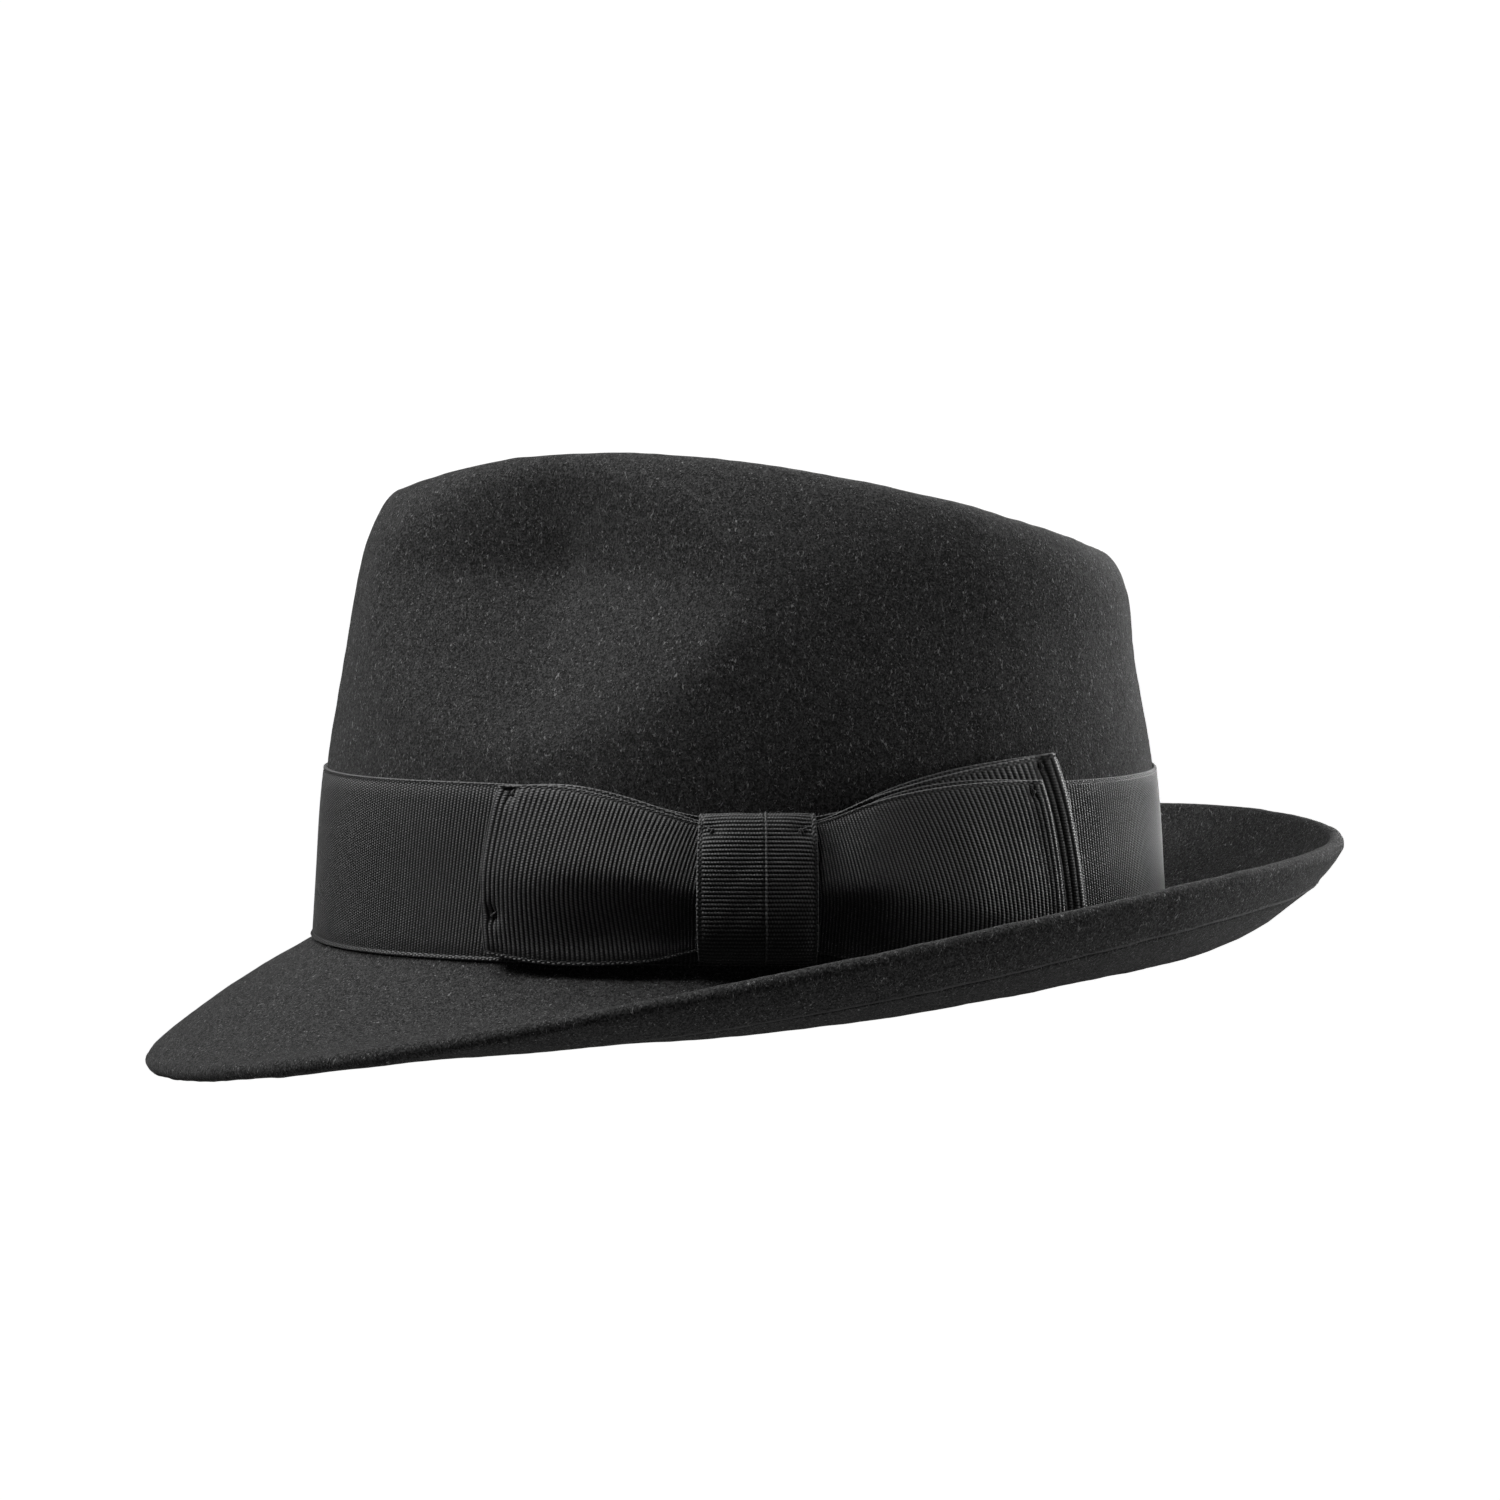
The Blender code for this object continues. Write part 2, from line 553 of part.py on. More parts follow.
def make_sweatband():
    angles = around(ROUND_CELLS)
    levels = np.array([SWEATBAND_FOOT, .008, .018, .030, .041, SWEATBAND_TOP])
    outer = SWEATBAND_DEPTH
    inner = SWEATBAND_DEPTH + LEATHER
    heights = list(levels) + list(levels[::-1])
    rings = wall_ring(angles, heights, [-outer] * 6 + [-inner] * 6)
    finish_object("sweatband", *tube(rings, closed=True), LEATHER_BROWN, 0.45)

    tape = [TAPE_FOOT, .008, TAPE_TOP]
    heights = tape + tape[::-1]
    rings = wall_ring(angles, heights, [-LINING_DEPTH] * 3 + [-LINING_DEPTH - LINING] * 3)
    finish_object("reed_tape", *tube(rings, closed=True), TAPE_BLACK, 0.7)

    turn = 2 * math.pi * np.arange(6) / 6
    heights = list(0.0002 + REED_RADIUS * np.sin(turn))
    depths = list(-(outer + LEATHER / 2) + REED_RADIUS * np.cos(turn))
    rings = wall_ring(angles, heights, depths)
    finish_object("sweatband_reed", *tube(rings, closed=True), TAPE_BLACK, 0.6)

    turn = 2 * math.pi * (np.arange(4) + 0.5) / 4
    heights = list(STITCH_HEIGHT + THREAD / 2 * np.sin(turn))
    depths = list(-(inner + GAP + THREAD / 2) + THREAD / 2 * np.cos(turn))
    rings = wall_ring(angles, heights, depths)
    finish_object("sweatband_stitching", *tube(rings, closed=True), THREAD_BROWN, 0.8)


# The small bow over the sweatband's seam at the back: (length along, half height) in mm.
BACK_BOW = [
    (-8.0, 4.6), (-6.5, 4.4), (-3.5, 3.0), (-1.2, 1.9),
    (1.2, 1.9), (3.5, 3.0), (6.5, 4.4), (8.0, 4.6),
]
BACK_BOW_HEIGHT = 0.016


def make_back_bow():
    outline = np.array(BACK_BOW) * MM
    depth = SWEATBAND_DEPTH + LEATHER + GAP + 0.0004
    level = np.linspace(-1, 1, 5)[None, :]
    angle = math.pi + outline[:, :1] / ARC
    height = BACK_BOW_HEIGHT + outline[:, 1:] * level
    middle = on_wall(angle, height, np.full(height.shape, -depth))
    finish_object("sweatband_back_bow", *tube(thick(middle, RIBBON)), RIBBON_BLACK, 0.7)


for old in list(bpy.data.objects):
    bpy.data.objects.remove(old, do_unlink=True)

make_felt()
make_band()
make_bow()
make_lining()
make_sweatband()
make_back_bow()
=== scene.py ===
"""The looks of a black felt fedora: napped felt, ribbed ribbon and bow, leather and satin inside.

Everything is in metres, in the CAD model's frame: +Z up, the hat's front towards -Y, the
wearer's left side with the bow at +X.  Angles round the hat run from the front (0) over the
wearer's left (90 degrees) to the back (180 degrees).
"""
import math

import bmesh
import bpy
import numpy as np
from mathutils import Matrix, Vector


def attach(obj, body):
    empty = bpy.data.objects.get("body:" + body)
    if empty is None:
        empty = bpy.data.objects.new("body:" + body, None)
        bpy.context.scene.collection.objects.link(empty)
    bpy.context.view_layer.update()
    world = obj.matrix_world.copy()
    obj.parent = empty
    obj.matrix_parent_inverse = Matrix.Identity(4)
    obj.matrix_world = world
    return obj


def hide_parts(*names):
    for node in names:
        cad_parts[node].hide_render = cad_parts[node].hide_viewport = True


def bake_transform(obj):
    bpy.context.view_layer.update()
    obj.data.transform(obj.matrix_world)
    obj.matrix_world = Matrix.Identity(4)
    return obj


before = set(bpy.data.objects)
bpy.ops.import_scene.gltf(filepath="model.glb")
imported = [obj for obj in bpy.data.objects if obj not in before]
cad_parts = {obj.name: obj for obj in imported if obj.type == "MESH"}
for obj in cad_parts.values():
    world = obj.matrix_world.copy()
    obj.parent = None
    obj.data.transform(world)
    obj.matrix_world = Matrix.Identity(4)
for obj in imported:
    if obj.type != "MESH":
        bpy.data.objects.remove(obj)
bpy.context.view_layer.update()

# -------- the hat's own dimensions
MM = 0.001
CROWN_LENGTH = 0.2036
CROWN_WIDTH = 0.174
BREAK_SIDE_RISE = 0.003
TOP_LEAN = 0.030            # rise across the hand-creased top, towards the wearer's left
BREAK_ROUNDING = 0.003
BRIM_WIDTH = 0.050
FELT = 0.0022
WELT_WIDTH = 0.011
EDGE = 0.0040
WELT_THICK = 0.0031         # where the welt's felted-down edge ends, under the brim
RIBBON = 0.0005
BAND_FOOT, BAND_TOP = 0.0008, 0.0415
BAND_DIP = 0.0085
BAND_GAP = 0.00012
GAP = 0.0004
LINING = 0.0003
LINING_DEPTH = FELT + GAP
LINING_FOOT = 0.030
LINING_SEAM = 0.116
LEATHER = 0.0010
SWEATBAND_DEPTH = LINING_DEPTH + 2 * GAP
SWEATBAND_FOOT, SWEATBAND_TOP = 0.0016, 0.0450
RIB = 0.00092               # from rib to rib of the grosgrain
RIB_RELIEF = 0.00025


# -------- curves round the hat
def around(count):
    """Angles round the hat, without the closing one."""
    return 2 * math.pi * np.arange(count) / count


def five_way(angle, front, fore, side, aft, back):
    """A smooth left-right symmetric value with these values at 0, 45, 90, 135 and 180 degrees."""
    given = np.array([front, fore, side, aft, back], float)
    waves = np.arange(5)
    weights = np.linalg.solve(np.cos(np.outer(waves * math.pi / 4, waves)), given)
    return np.cos(np.multiply.outer(angle, waves)) @ weights


def plan_ring(angle, half_length, half_width, height, fullness=1.0, taper=0.0, shift=0.0, lean=0.0):
    """A closed curve round the hat; a positive taper narrows its front and widens its back."""
    x = half_width * np.sin(angle) * (fullness - taper * np.cos(angle))
    y = shift - half_length * np.cos(angle)
    return np.stack([x, y, height + lean * x], axis=-1)


def spline_through(knots, values, at):
    """Natural cubic spline through values[k] at knots[k], along the first axis."""
    n = len(knots)
    h = np.diff(knots)
    system = np.zeros((n, n))
    right = np.zeros((n,) + values.shape[1:])
    system[0, 0] = system[-1, -1] = 1
    wide = (-1,) + (1,) * (values.ndim - 1)
    slopes = np.diff(values, axis=0) / h.reshape(wide)
    for k in range(1, n - 1):
        system[k, k - 1:k + 2] = h[k - 1], 2 * (h[k - 1] + h[k]), h[k]
        right[k] = 6 * (slopes[k] - slopes[k - 1])
    bends = np.linalg.solve(system, right.reshape(n, -1)).reshape(right.shape)
    k = np.clip(np.searchsorted(knots, at, side="right") - 1, 0, n - 2)
    span = h[k].reshape(wide)
    before = (at - knots[k]).reshape(wide)
    after = span - before
    return (
        (bends[k] * after ** 3 + bends[k + 1] * before ** 3) / (6 * span)
        + (values[k] / span - bends[k] * span / 6) * after
        + (values[k + 1] / span - bends[k + 1] * span / 6) * before
    )


def unit(vectors):
    return vectors / (np.linalg.norm(vectors, axis=-1, keepdims=True) + 1e-15)


def bell(x):
    return np.exp(-x * x)


def smooth_step(x):
    x = np.clip(x, 0, 1)
    return x * x * (3 - 2 * x)


def ripple(points, wavelength, seed, waves=28):
    """Smooth irregular values of about -1 to 1 at points [..., 3], with this typical wavelength."""
    chance = np.random.default_rng(seed)
    total = np.zeros(points.shape[:-1])
    for _ in range(waves):
        direction = chance.normal(size=3)
        length = np.linalg.norm(direction) * wavelength
        direction *= 2 * math.pi / (length * chance.uniform(0.6, 1.6))
        total += np.sin(points @ direction + chance.uniform(0, 2 * math.pi))
    return total / math.sqrt(waves)


# -------- crown and brim
# The crown's upper rings: half length, half width, heights at the front, fore, side, aft and
# back, then fullness, taper, shift and lean.
UPPER_RINGS = [
    (0.0926, 0.0735, (.0852, .0882, .0862, .0792, .0732), 1.00, 0.09, 0.0012, 0.7 * TOP_LEAN),
    (0.0901, 0.0670, (.0979, .1024, .1007, .0919, .0844), 0.97, 0.20, 0.0020, TOP_LEAN),
    (0.0838, 0.0575, (.1073, .1136, .1130, .1009, .0925), 0.92, 0.33, 0.0024, TOP_LEAN),
    (0.0730, 0.0455, (.1039, .1095, .1080, .0975, .0900), 0.88, 0.38, 0.0022, TOP_LEAN),
    (0.0580, 0.0300, (.0955, .0985, .0960, .0880, .0840), 0.86, 0.38, 0.0020, TOP_LEAN),
    (0.0440, 0.0140, (.0905, .0890, .0865, .0820, .0810), 0.86, 0.30, 0.0010, TOP_LEAN),
    (0.0340, 0.0020, (.0890, .0870, .0850, .0810, .0800), 1.00, 0.00, 0.0000, TOP_LEAN),
]


def crown_rings(angle):
    """The crown's outside as closed curves from the break up over the rim to the crease."""
    a = CROWN_LENGTH / 2
    b = CROWN_WIDTH / 2
    low = BREAK_SIDE_RISE * np.sin(angle) ** 2
    wall_top = five_way(angle, .0620, .0630, .0630, .0610, .0600)
    return np.array([
        plan_ring(angle, a, b, low, taper=0.03),
        plan_ring(angle, a - 0.0012, b - 0.0010, low + 0.020, taper=0.03),
        plan_ring(angle, a - 0.0030, b - 0.0030, low * 0.8 + 0.041, taper=0.03),
        plan_ring(angle, a - 0.0062, b - 0.0068, wall_top, taper=0.05, lean=0.3 * TOP_LEAN),
    ] + [
        plan_ring(angle, half_length, half_width, five_way(angle, *heights), *rest)
        for half_length, half_width, heights, *rest in UPPER_RINGS
    ])


RING_PLACES = np.array([0, .020, .041, .063, .088, .102, .114, .127, .145, .164, .177])
CREASE = RING_PLACES[-1]
PINCH_ANGLE = math.radians(58)
PINCH_HEIGHT = 0.0885
PINCH_DEPTH = 0.018
PINCH_FORE, PINCH_AFT = math.radians(31), math.radians(27.5)
PINCH_BELOW, PINCH_ABOVE = 0.033, 0.024
PINCH_BLUNT = 0.22          # rounding of its middle, and of its rim, as shares of its reach
PINCH_RIM = 0.09
PINCH_POWER = 1.5           # between a lozenge at 1 and an oval at 2
PINCH_FADE = 0.104, 0.124


def pinch_depth(angle, height, place):
    """How far the pinch pushes the wall in: a blunt hollow with straight sides and a soft rim."""
    off = np.abs(np.arctan2(np.sin(angle), np.cos(angle))) - PINCH_ANGLE
    along = off / np.where(off < 0, PINCH_FORE, PINCH_AFT)
    rise = height - PINCH_HEIGHT
    up = rise / np.where(rise < 0, PINCH_BELOW, PINCH_ABOVE)
    reach = (np.abs(along) ** PINCH_POWER + np.abs(up) ** PINCH_POWER) ** (1 / PINCH_POWER)
    reach = np.sqrt(reach ** 2 + PINCH_BLUNT ** 2) - PINCH_BLUNT
    hollow = 0.5 * (1 - reach + np.sqrt((1 - reach) ** 2 + PINCH_RIM ** 2))
    hollow = hollow * (1 - smooth_step((reach - 1) / 0.4))
    fade = smooth_step((place - PINCH_FADE[0]) / (PINCH_FADE[1] - PINCH_FADE[0]))
    return PINCH_DEPTH * hollow * (1 - fade)


def crown_surface(angle, places):
    """The crown's outside, [place, angle, xyz], with its pinches."""
    places = np.asarray(places, float)
    points = spline_through(RING_PLACES, crown_rings(angle), places)
    inward = np.array([0, 0.2 * CROWN_LENGTH, 0]) - points
    inward[..., 1] *= 0.35
    inward[..., 2] = 0
    depth = pinch_depth(angle[None, :], points[..., 2], places[:, None])
    return points + unit(inward) * depth[..., None]


def brim_surface(angle, runs):
    """The brim's top, [run, angle, xyz]; a run is the distance along the felt from the break."""
    start = np.radians(five_way(angle, -28, -32, -37.5, -5.3, 5.4))       # its slopes
    finish = np.radians(five_way(angle, -41, -6, 70, 77.5, 66.5))
    curl = five_way(angle, 1.15, 1.37, 1.5, 1.4, 1.15)
    foot = crown_rings(angle)[0]
    along = crown_rings(angle + 1e-4)[0] - crown_rings(angle - 1e-4)[0]
    out = unit(np.stack([along[:, 1], -along[:, 0]], axis=-1))
    steps = np.linspace(0, BRIM_WIDTH, 201)
    slope = start + (finish - start) * (steps[:, None] / BRIM_WIDTH) ** curl
    still = np.zeros((1, len(angle)))
    across = np.concatenate([still, np.cumsum(np.cos(slope[:-1]) * steps[1], axis=0)])
    rise = np.concatenate([still, np.cumsum(np.sin(slope[:-1]) * steps[1], axis=0)])
    runs = np.asarray(runs, float)
    across = np.stack([np.interp(runs, steps, column) for column in across.T], axis=1)
    rise = np.stack([np.interp(runs, steps, column) for column in rise.T], axis=1)
    points = np.repeat(foot[None], len(runs), axis=0)
    points[..., :2] += across[..., None] * out
    points[..., 2] += rise
    return points


def felt_outside(angle, path):
    """The felt's upper side, [path, angle, xyz]: negative up the crown, positive along the brim."""
    path = np.asarray(path, float)
    r = BREAK_ROUNDING
    points = np.empty((len(path), len(angle), 3))
    up = path <= -r
    out = path >= r
    if up.any():
        points[up] = crown_surface(angle, -path[up])
    if out.any():
        points[out] = brim_surface(angle, path[out])
    turn = ~(up | out)
    if turn.any():
        wall = crown_surface(angle, [r])
        corner = crown_surface(angle, [0])
        flat = brim_surface(angle, [r])
        t = ((path[turn] + r) / (2 * r))[:, None, None]
        points[turn] = (1 - t) ** 2 * wall + 2 * t * (1 - t) * corner + t * t * flat
    return points


def felt_layer(angle, path, depth):
    """Points this far below the felt's upper side; depth is per path, or per path and angle."""
    path = np.asarray(path, float)
    step = 2e-4
    low = np.clip(path - step, -CREASE, BRIM_WIDTH)
    high = np.clip(path + step, -CREASE, BRIM_WIDTH)
    along = felt_outside(angle, high) - felt_outside(angle, low)
    turn = felt_outside(angle + 1e-3, path) - felt_outside(angle - 1e-3, path)
    depth = np.asarray(depth, float)
    if depth.ndim == 1:
        depth = depth[:, None]
    return felt_outside(angle, path) - unit(np.cross(along, turn)) * depth[..., None]


# -------- the wall under the ribbons
FINE_CELLS = 1440
WALL_ANGLES = 2 * math.pi * np.arange(FINE_CELLS + 1) / FINE_CELLS
WALL_HEIGHTS = np.linspace(0, 0.060, 61)
WALL = crown_surface(WALL_ANGLES, WALL_HEIGHTS)


def wall_normals():
    along = np.gradient(WALL, axis=0)
    turn = np.roll(WALL[:, :-1], -1, axis=1) - np.roll(WALL[:, :-1], 1, axis=1)
    normal = unit(np.cross(turn, along[:, :-1]))
    return np.concatenate([normal, normal[:, :1]], axis=1)


WALL_NORMALS = wall_normals()


def look_up(table, angle, height):
    """Bilinear value of a wall table; below the break the wall goes straight on down."""
    column = np.mod(angle, 2 * math.pi) / (2 * math.pi) * FINE_CELLS
    row = height / (WALL_HEIGHTS[1] - WALL_HEIGHTS[0])
    i = np.clip(np.floor(column).astype(int), 0, FINE_CELLS - 1)
    j = np.clip(np.floor(row).astype(int), 0, len(WALL_HEIGHTS) - 2)
    s = (column - i)[..., None]
    t = (row - j)[..., None]
    lower = table[j, i] * (1 - s) + table[j, i + 1] * s
    upper = table[j + 1, i] * (1 - s) + table[j + 1, i + 1] * s
    return lower * (1 - t) + upper * t


def on_wall(angle, height, out):
    """Points this far outside the felt, at these angles and heights above the break."""
    angle, height, out = np.broadcast_arrays(angle, height, out)
    normal = look_up(WALL_NORMALS, angle, np.clip(height, 0, WALL_HEIGHTS[-1]))
    return look_up(WALL, angle, height) + normal * out[..., None]


# -------- meshes
def add_mesh(name, points, faces, material, weave=None):
    """A smooth closed mesh object; weave is a vector per point for the shaders."""
    mesh = bpy.data.meshes.new(name)
    mesh.from_pydata(points.tolist(), [], faces)
    if weave is not None:
        attribute = mesh.attributes.new("weave", "FLOAT_VECTOR", "POINT")
        attribute.data.foreach_set("vector", np.ascontiguousarray(weave, np.float32).ravel())
    shell = bmesh.new()
    shell.from_mesh(mesh)
    bmesh.ops.recalc_face_normals(shell, faces=shell.faces[:])
    shell.to_mesh(mesh)
    shell.free()
    mesh.polygons.foreach_set("use_smooth", [True] * len(mesh.polygons))
    mesh.materials.append(material)
    made = bpy.data.objects.new(name, mesh)
    bpy.context.scene.collection.objects.link(made)
    return made


def across(ring, tip):
    """Faces that close a ring of indices from side to side; a tip ring starts at its own end."""
    half = len(ring) // 2
    left = ring[:half + 1] if tip else ring[:half]
    right = ([ring[0]] + ring[::-1])[:half + 1] if tip else ring[::-1][:half]
    faces = []
    for k in range(len(left) - 1):
        face = [left[k], left[k + 1], right[k + 1], right[k]]
        faces.append(list(dict.fromkeys(face)))
    return faces


def tube(rings, closed=False, tip=False):
    """Points and faces through rings [ring, around, xyz]; closed joins the last to the first."""
    rows, columns = rings.shape[:2]
    j = np.arange(rows if closed else rows - 1)[:, None]
    i = np.arange(columns)[None, :]
    k = (j + 1) % rows
    n = (i + 1) % columns
    quads = np.stack([j * columns + i, j * columns + n, k * columns + n, k * columns + i], axis=-1)
    faces = quads.reshape(-1, 4).tolist()
    if not closed:
        faces += across(list(range(columns)), tip)
        faces += across(list(range((rows - 1) * columns, rows * columns)), tip)
    return rings.reshape(-1, 3), faces


def normals_of(surface):
    """Unit normals of a surface [along, across, xyz]."""
    return unit(np.cross(np.gradient(surface, axis=0), np.gradient(surface, axis=1)))


# -------- materials
class Shader:
    """A material under construction: a Principled surface and short calls that add nodes to it."""

    def __init__(self, name, roughness, sheen=0.0, sheen_roughness=0.5, specular=0.5):
        self.material = bpy.data.materials.new(name)
        self.material.use_nodes = True
        self.tree = self.material.node_tree
        self.surface = self.tree.nodes["Principled BSDF"]
        self.set("Roughness", roughness)
        self.set("Sheen Weight", sheen)
        self.set("Sheen Roughness", sheen_roughness)
        self.set("Specular IOR Level", specular)

    def set(self, socket, value):
        self.surface.inputs[socket].default_value = value

    def node(self, kind, links=(), **settings):
        made = self.tree.nodes.new("ShaderNode" + kind)
        for key, value in settings.items():
            setattr(made, key, value)
        for socket, source in dict(links).items():
            if hasattr(source, "is_output"):
                self.tree.links.new(source, made.inputs[socket])
            else:
                made.inputs[socket].default_value = source
        return made

    def place(self):
        return self.node("TexCoord").outputs["Object"]

    def weave(self):
        return self.node("Attribute", attribute_name="weave").outputs["Vector"]

    def part(self, vector, axis):
        return self.node("SeparateXYZ", {"Vector": vector}).outputs[axis]

    def math(self, operation, a, b=0.0):
        return self.node("Math", {0: a, 1: b}, operation=operation).outputs[0]

    def mapped(self, vector, scale, turn=(0, 0, 0)):
        links = {"Vector": vector, "Rotation": turn, "Scale": scale}
        return self.node("Mapping", links).outputs[0]

    def noise(self, vector, scale, detail=2.0, roughness=0.5, distortion=0.0):
        links = {"Vector": vector, "Scale": scale, "Detail": detail, "Roughness": roughness}
        links["Distortion"] = distortion
        return self.node("TexNoise", links).outputs["Fac"]

    def cells(self, vector, scale):
        made = self.node("TexVoronoi", {"Vector": vector, "Scale": scale})
        return made.outputs["Distance"]

    def between(self, value, low, high, new_low=0.0, new_high=1.0):
        links = {"Value": value, "From Min": low, "From Max": high}
        links.update({"To Min": new_low, "To Max": new_high})
        return self.node("MapRange", links, interpolation_type="SMOOTHSTEP").outputs[0]

    def mix(self, share, a, b):
        return self.node("Mix", {0: share, 6: a, 7: b}, data_type="RGBA").outputs[2]

    def colour(self, source):
        self.tree.links.new(source, self.surface.inputs["Base Color"])

    def roughness(self, source):
        self.tree.links.new(source, self.surface.inputs["Roughness"])

    def bump(self, height, distance, strength=1.0, under=None):
        links = {"Height": height, "Distance": distance, "Strength": strength}
        if under is not None:
            links["Normal"] = under
        made = self.node("Bump", links).outputs[0]
        self.tree.links.new(made, self.surface.inputs["Normal"])
        return made


def grey(value, warmth=0.0):
    return (value * (1 + warmth), value, value * (1 - warmth), 1)


def felt_material():
    """Black fur felt: a mottled short nap with scattered pale hairs lying every way."""
    s = Shader("felt", 0.95, sheen=0.08, sheen_roughness=0.5, specular=0.10)
    s.set("Sheen Tint", grey(0.6))
    place = s.place()
    mottle = s.noise(place, 760, 3, 0.6)
    nap = s.noise(place, 2100, 3, 0.7)
    dark = s.mix(s.between(mottle, 0.35, 0.65), grey(0.008), grey(0.014))
    light = s.mix(s.between(mottle, 0.35, 0.65), grey(0.044), grey(0.074))
    base = s.mix(s.between(nap, 0.40, 0.60), dark, light)
    raised = s.math("MULTIPLY", nap, 0.5)
    for turn, (scale, bright) in enumerate([(700, 0.26), (820, 0.24), (960, 0.22), (1100, 0.20)]):
        way = (0.7 + 1.1 * turn, 0.4 + 0.9 * turn, 0.3 + 1.3 * turn)
        lying = s.mapped(place, (1, 1, 0.5), way)
        off = s.math("ABSOLUTE", s.math("SUBTRACT", s.noise(lying, scale, 1, 0.5, 0.3), 0.5))
        hair = s.between(off, 0.008, 0.026, 1, 0)
        short = s.between(s.noise(lying, 1.7 * scale, 1), 0.60, 0.68)
        fibre = s.math("MULTIPLY", hair, short)
        base = s.mix(fibre, base, grey(bright))
        raised = s.math("ADD", raised, s.math("MULTIPLY", fibre, 0.5))
    # Along the welt's felted-down edge: a painted highlight (a pale line on its ridge, crest) and
    # painted shade (a dark line in the groove beside it).
    welt = s.math("ADD", s.part(s.weave(), "X"), s.between(mottle, 0.3, 0.7, -0.15, 0.15))
    crest = s.between(s.math("ABSOLUTE", s.math("SUBTRACT", welt, 0.35)), 0.10, 0.50, 0.75, 0.0)
    painted_welt_shade = s.between(s.math("ABSOLUTE", s.math("ADD", welt, 0.45)), 0.10, 0.50, 0.4, 0.0)
    # painted highlight on the welt's ridge, then painted shade in its groove
    base = s.mix(crest, base, grey(0.11))
    base = s.mix(painted_welt_shade, base, grey(0.006))
    s.colour(base)
    fine = s.bump(raised, 0.00040, 1.0)
    s.bump(mottle, 0.0003, 0.7, under=fine)
    return s.material


def ribbon_material(name, thread=0.029):
    """Black grosgrain: the fine warp binds each rib in beads. Painted shade darkens the grooves
    between, and painted highlights lighten the rib crests, the beads and the edges.
    """
    s = Shader(name, 0.48, sheen=0.3, sheen_roughness=0.35, specular=0.5)
    s.set("Sheen Tint", grey(0.7))
    weave = s.weave()
    along = s.part(weave, "X")
    over = s.part(weave, "Y")
    crest = s.math("ABSOLUTE", s.math("COSINE", s.math("MULTIPLY", along, math.pi)))
    number = s.math("FLOOR", s.math("ADD", along, 0.5))
    stagger = s.math("MULTIPLY", number, math.pi)
    bead = s.math("SINE", s.math("ADD", s.math("MULTIPLY", over, 2 * math.pi / 0.62), stagger))
    bead = s.math("ADD", s.math("MULTIPLY", bead, 0.5), 0.5)
    uneven = s.noise(s.mapped(weave, (1, 2.6, 1)), 2.2, 2, 0.6)
    # Painted shade in the rib grooves and a painted highlight on the rib crests (lit).
    lit = s.math("POWER", crest, 2.6)
    tone = s.mix(lit, grey(thread * 0.05), grey(thread * 1.55))
    # painted highlights on the beads of the lit crests
    tone = s.mix(s.math("MULTIPLY", s.math("MULTIPLY", bead, lit), 0.6), tone, grey(thread * 3.5))
    tone = s.mix(s.between(uneven, 0.58, 0.8, 0.0, 0.4), tone, grey(thread * 3.2))
    # A painted highlight: a pale line along each edge of the ribbon, and along the knot's seam lip.
    painted_edge_highlight = s.between(s.part(weave, "Z"), 0.12, 0.34, 0.7, 0.0)
    tone = s.mix(painted_edge_highlight, tone, grey(thread * 4.0))
    s.colour(tone)
    fine = s.bump(s.math("MULTIPLY", bead, crest), 0.00012, 0.9)
    s.bump(uneven, 0.00008, 0.6, under=fine)
    return s.material


def thread_material(name, value, warmth=0.0):
    """Twisted sewing thread."""
    s = Shader(name, 0.6, sheen=0.3)
    place = s.place()
    twist = s.noise(s.mapped(place, (1, 1, 0.3), (0.6, 0.5, 0.2)), 2600, 2)
    s.colour(s.mix(twist, grey(value * 0.5, warmth), grey(value * 1.6, warmth)))
    s.bump(twist, 0.0001, 0.8)
    return s.material


def leather_material():
    """Dark brown sweatband leather: fine pores and creases, darker along its edges."""
    s = Shader("sweatband_leather", 0.42, specular=0.5)
    place = s.place()
    pores = s.cells(place, 1100)
    creases = s.noise(place, 420, 5, 0.6, 0.6)
    cloud = s.noise(place, 38, 3, 0.55)
    edge = s.part(s.weave(), "Y")
    base = s.mix(s.between(cloud, 0.3, 0.7), (0.060, 0.028, 0.013, 1), (0.105, 0.054, 0.027, 1))
    base = s.mix(s.between(creases, 0.55, 0.75, 0.0, 0.5), base, (0.035, 0.016, 0.008, 1))
    base = s.mix(s.between(edge, 0.0, 0.0016, 0.7, 0.0), base, (0.020, 0.010, 0.006, 1))
    s.colour(base)
    s.roughness(s.between(cloud, 0.3, 0.7, 0.36, 0.52))
    grain = s.bump(s.between(pores, 0.1, 0.6), 0.00012, 0.5)
    s.bump(creases, 0.00025, 0.5, under=grain)
    return s.material


def satin_material():
    """Charcoal lining satin: long warp floats give it a directional sheen."""
    s = Shader("satin", 0.32, sheen=0.3, sheen_roughness=0.3, specular=0.6)
    place = s.place()
    threads = s.noise(s.mapped(place, (2600, 2600, 260)), 1.0, 2)
    cloud = s.noise(place, 45, 3)
    base = s.mix(s.between(cloud, 0.3, 0.7), (0.045, 0.045, 0.050, 1), (0.062, 0.062, 0.068, 1))
    base = s.mix(s.between(threads, 0.45, 0.75, 0.0, 0.6), base, (0.10, 0.10, 0.11, 1))
    s.colour(base)
    s.roughness(s.between(threads, 0.3, 0.7, 0.28, 0.42))
    s.bump(threads, 0.00004, 0.6)
    return s.material


def tape_material():
    """Black woven tape."""
    s = Shader("reed_cover", 0.75, sheen=0.2)
    place = s.place()
    wale = s.noise(s.mapped(place, (1, 1, 0.2)), 3200, 2)
    pick = s.noise(s.mapped(place, (0.25, 0.25, 1)), 3200, 2)
    woven = s.math("MULTIPLY", wale, pick)
    s.colour(s.mix(s.between(woven, 0.15, 0.4), grey(0.012), grey(0.050)))
    s.bump(woven, 0.00015, 0.8)
    return s.material


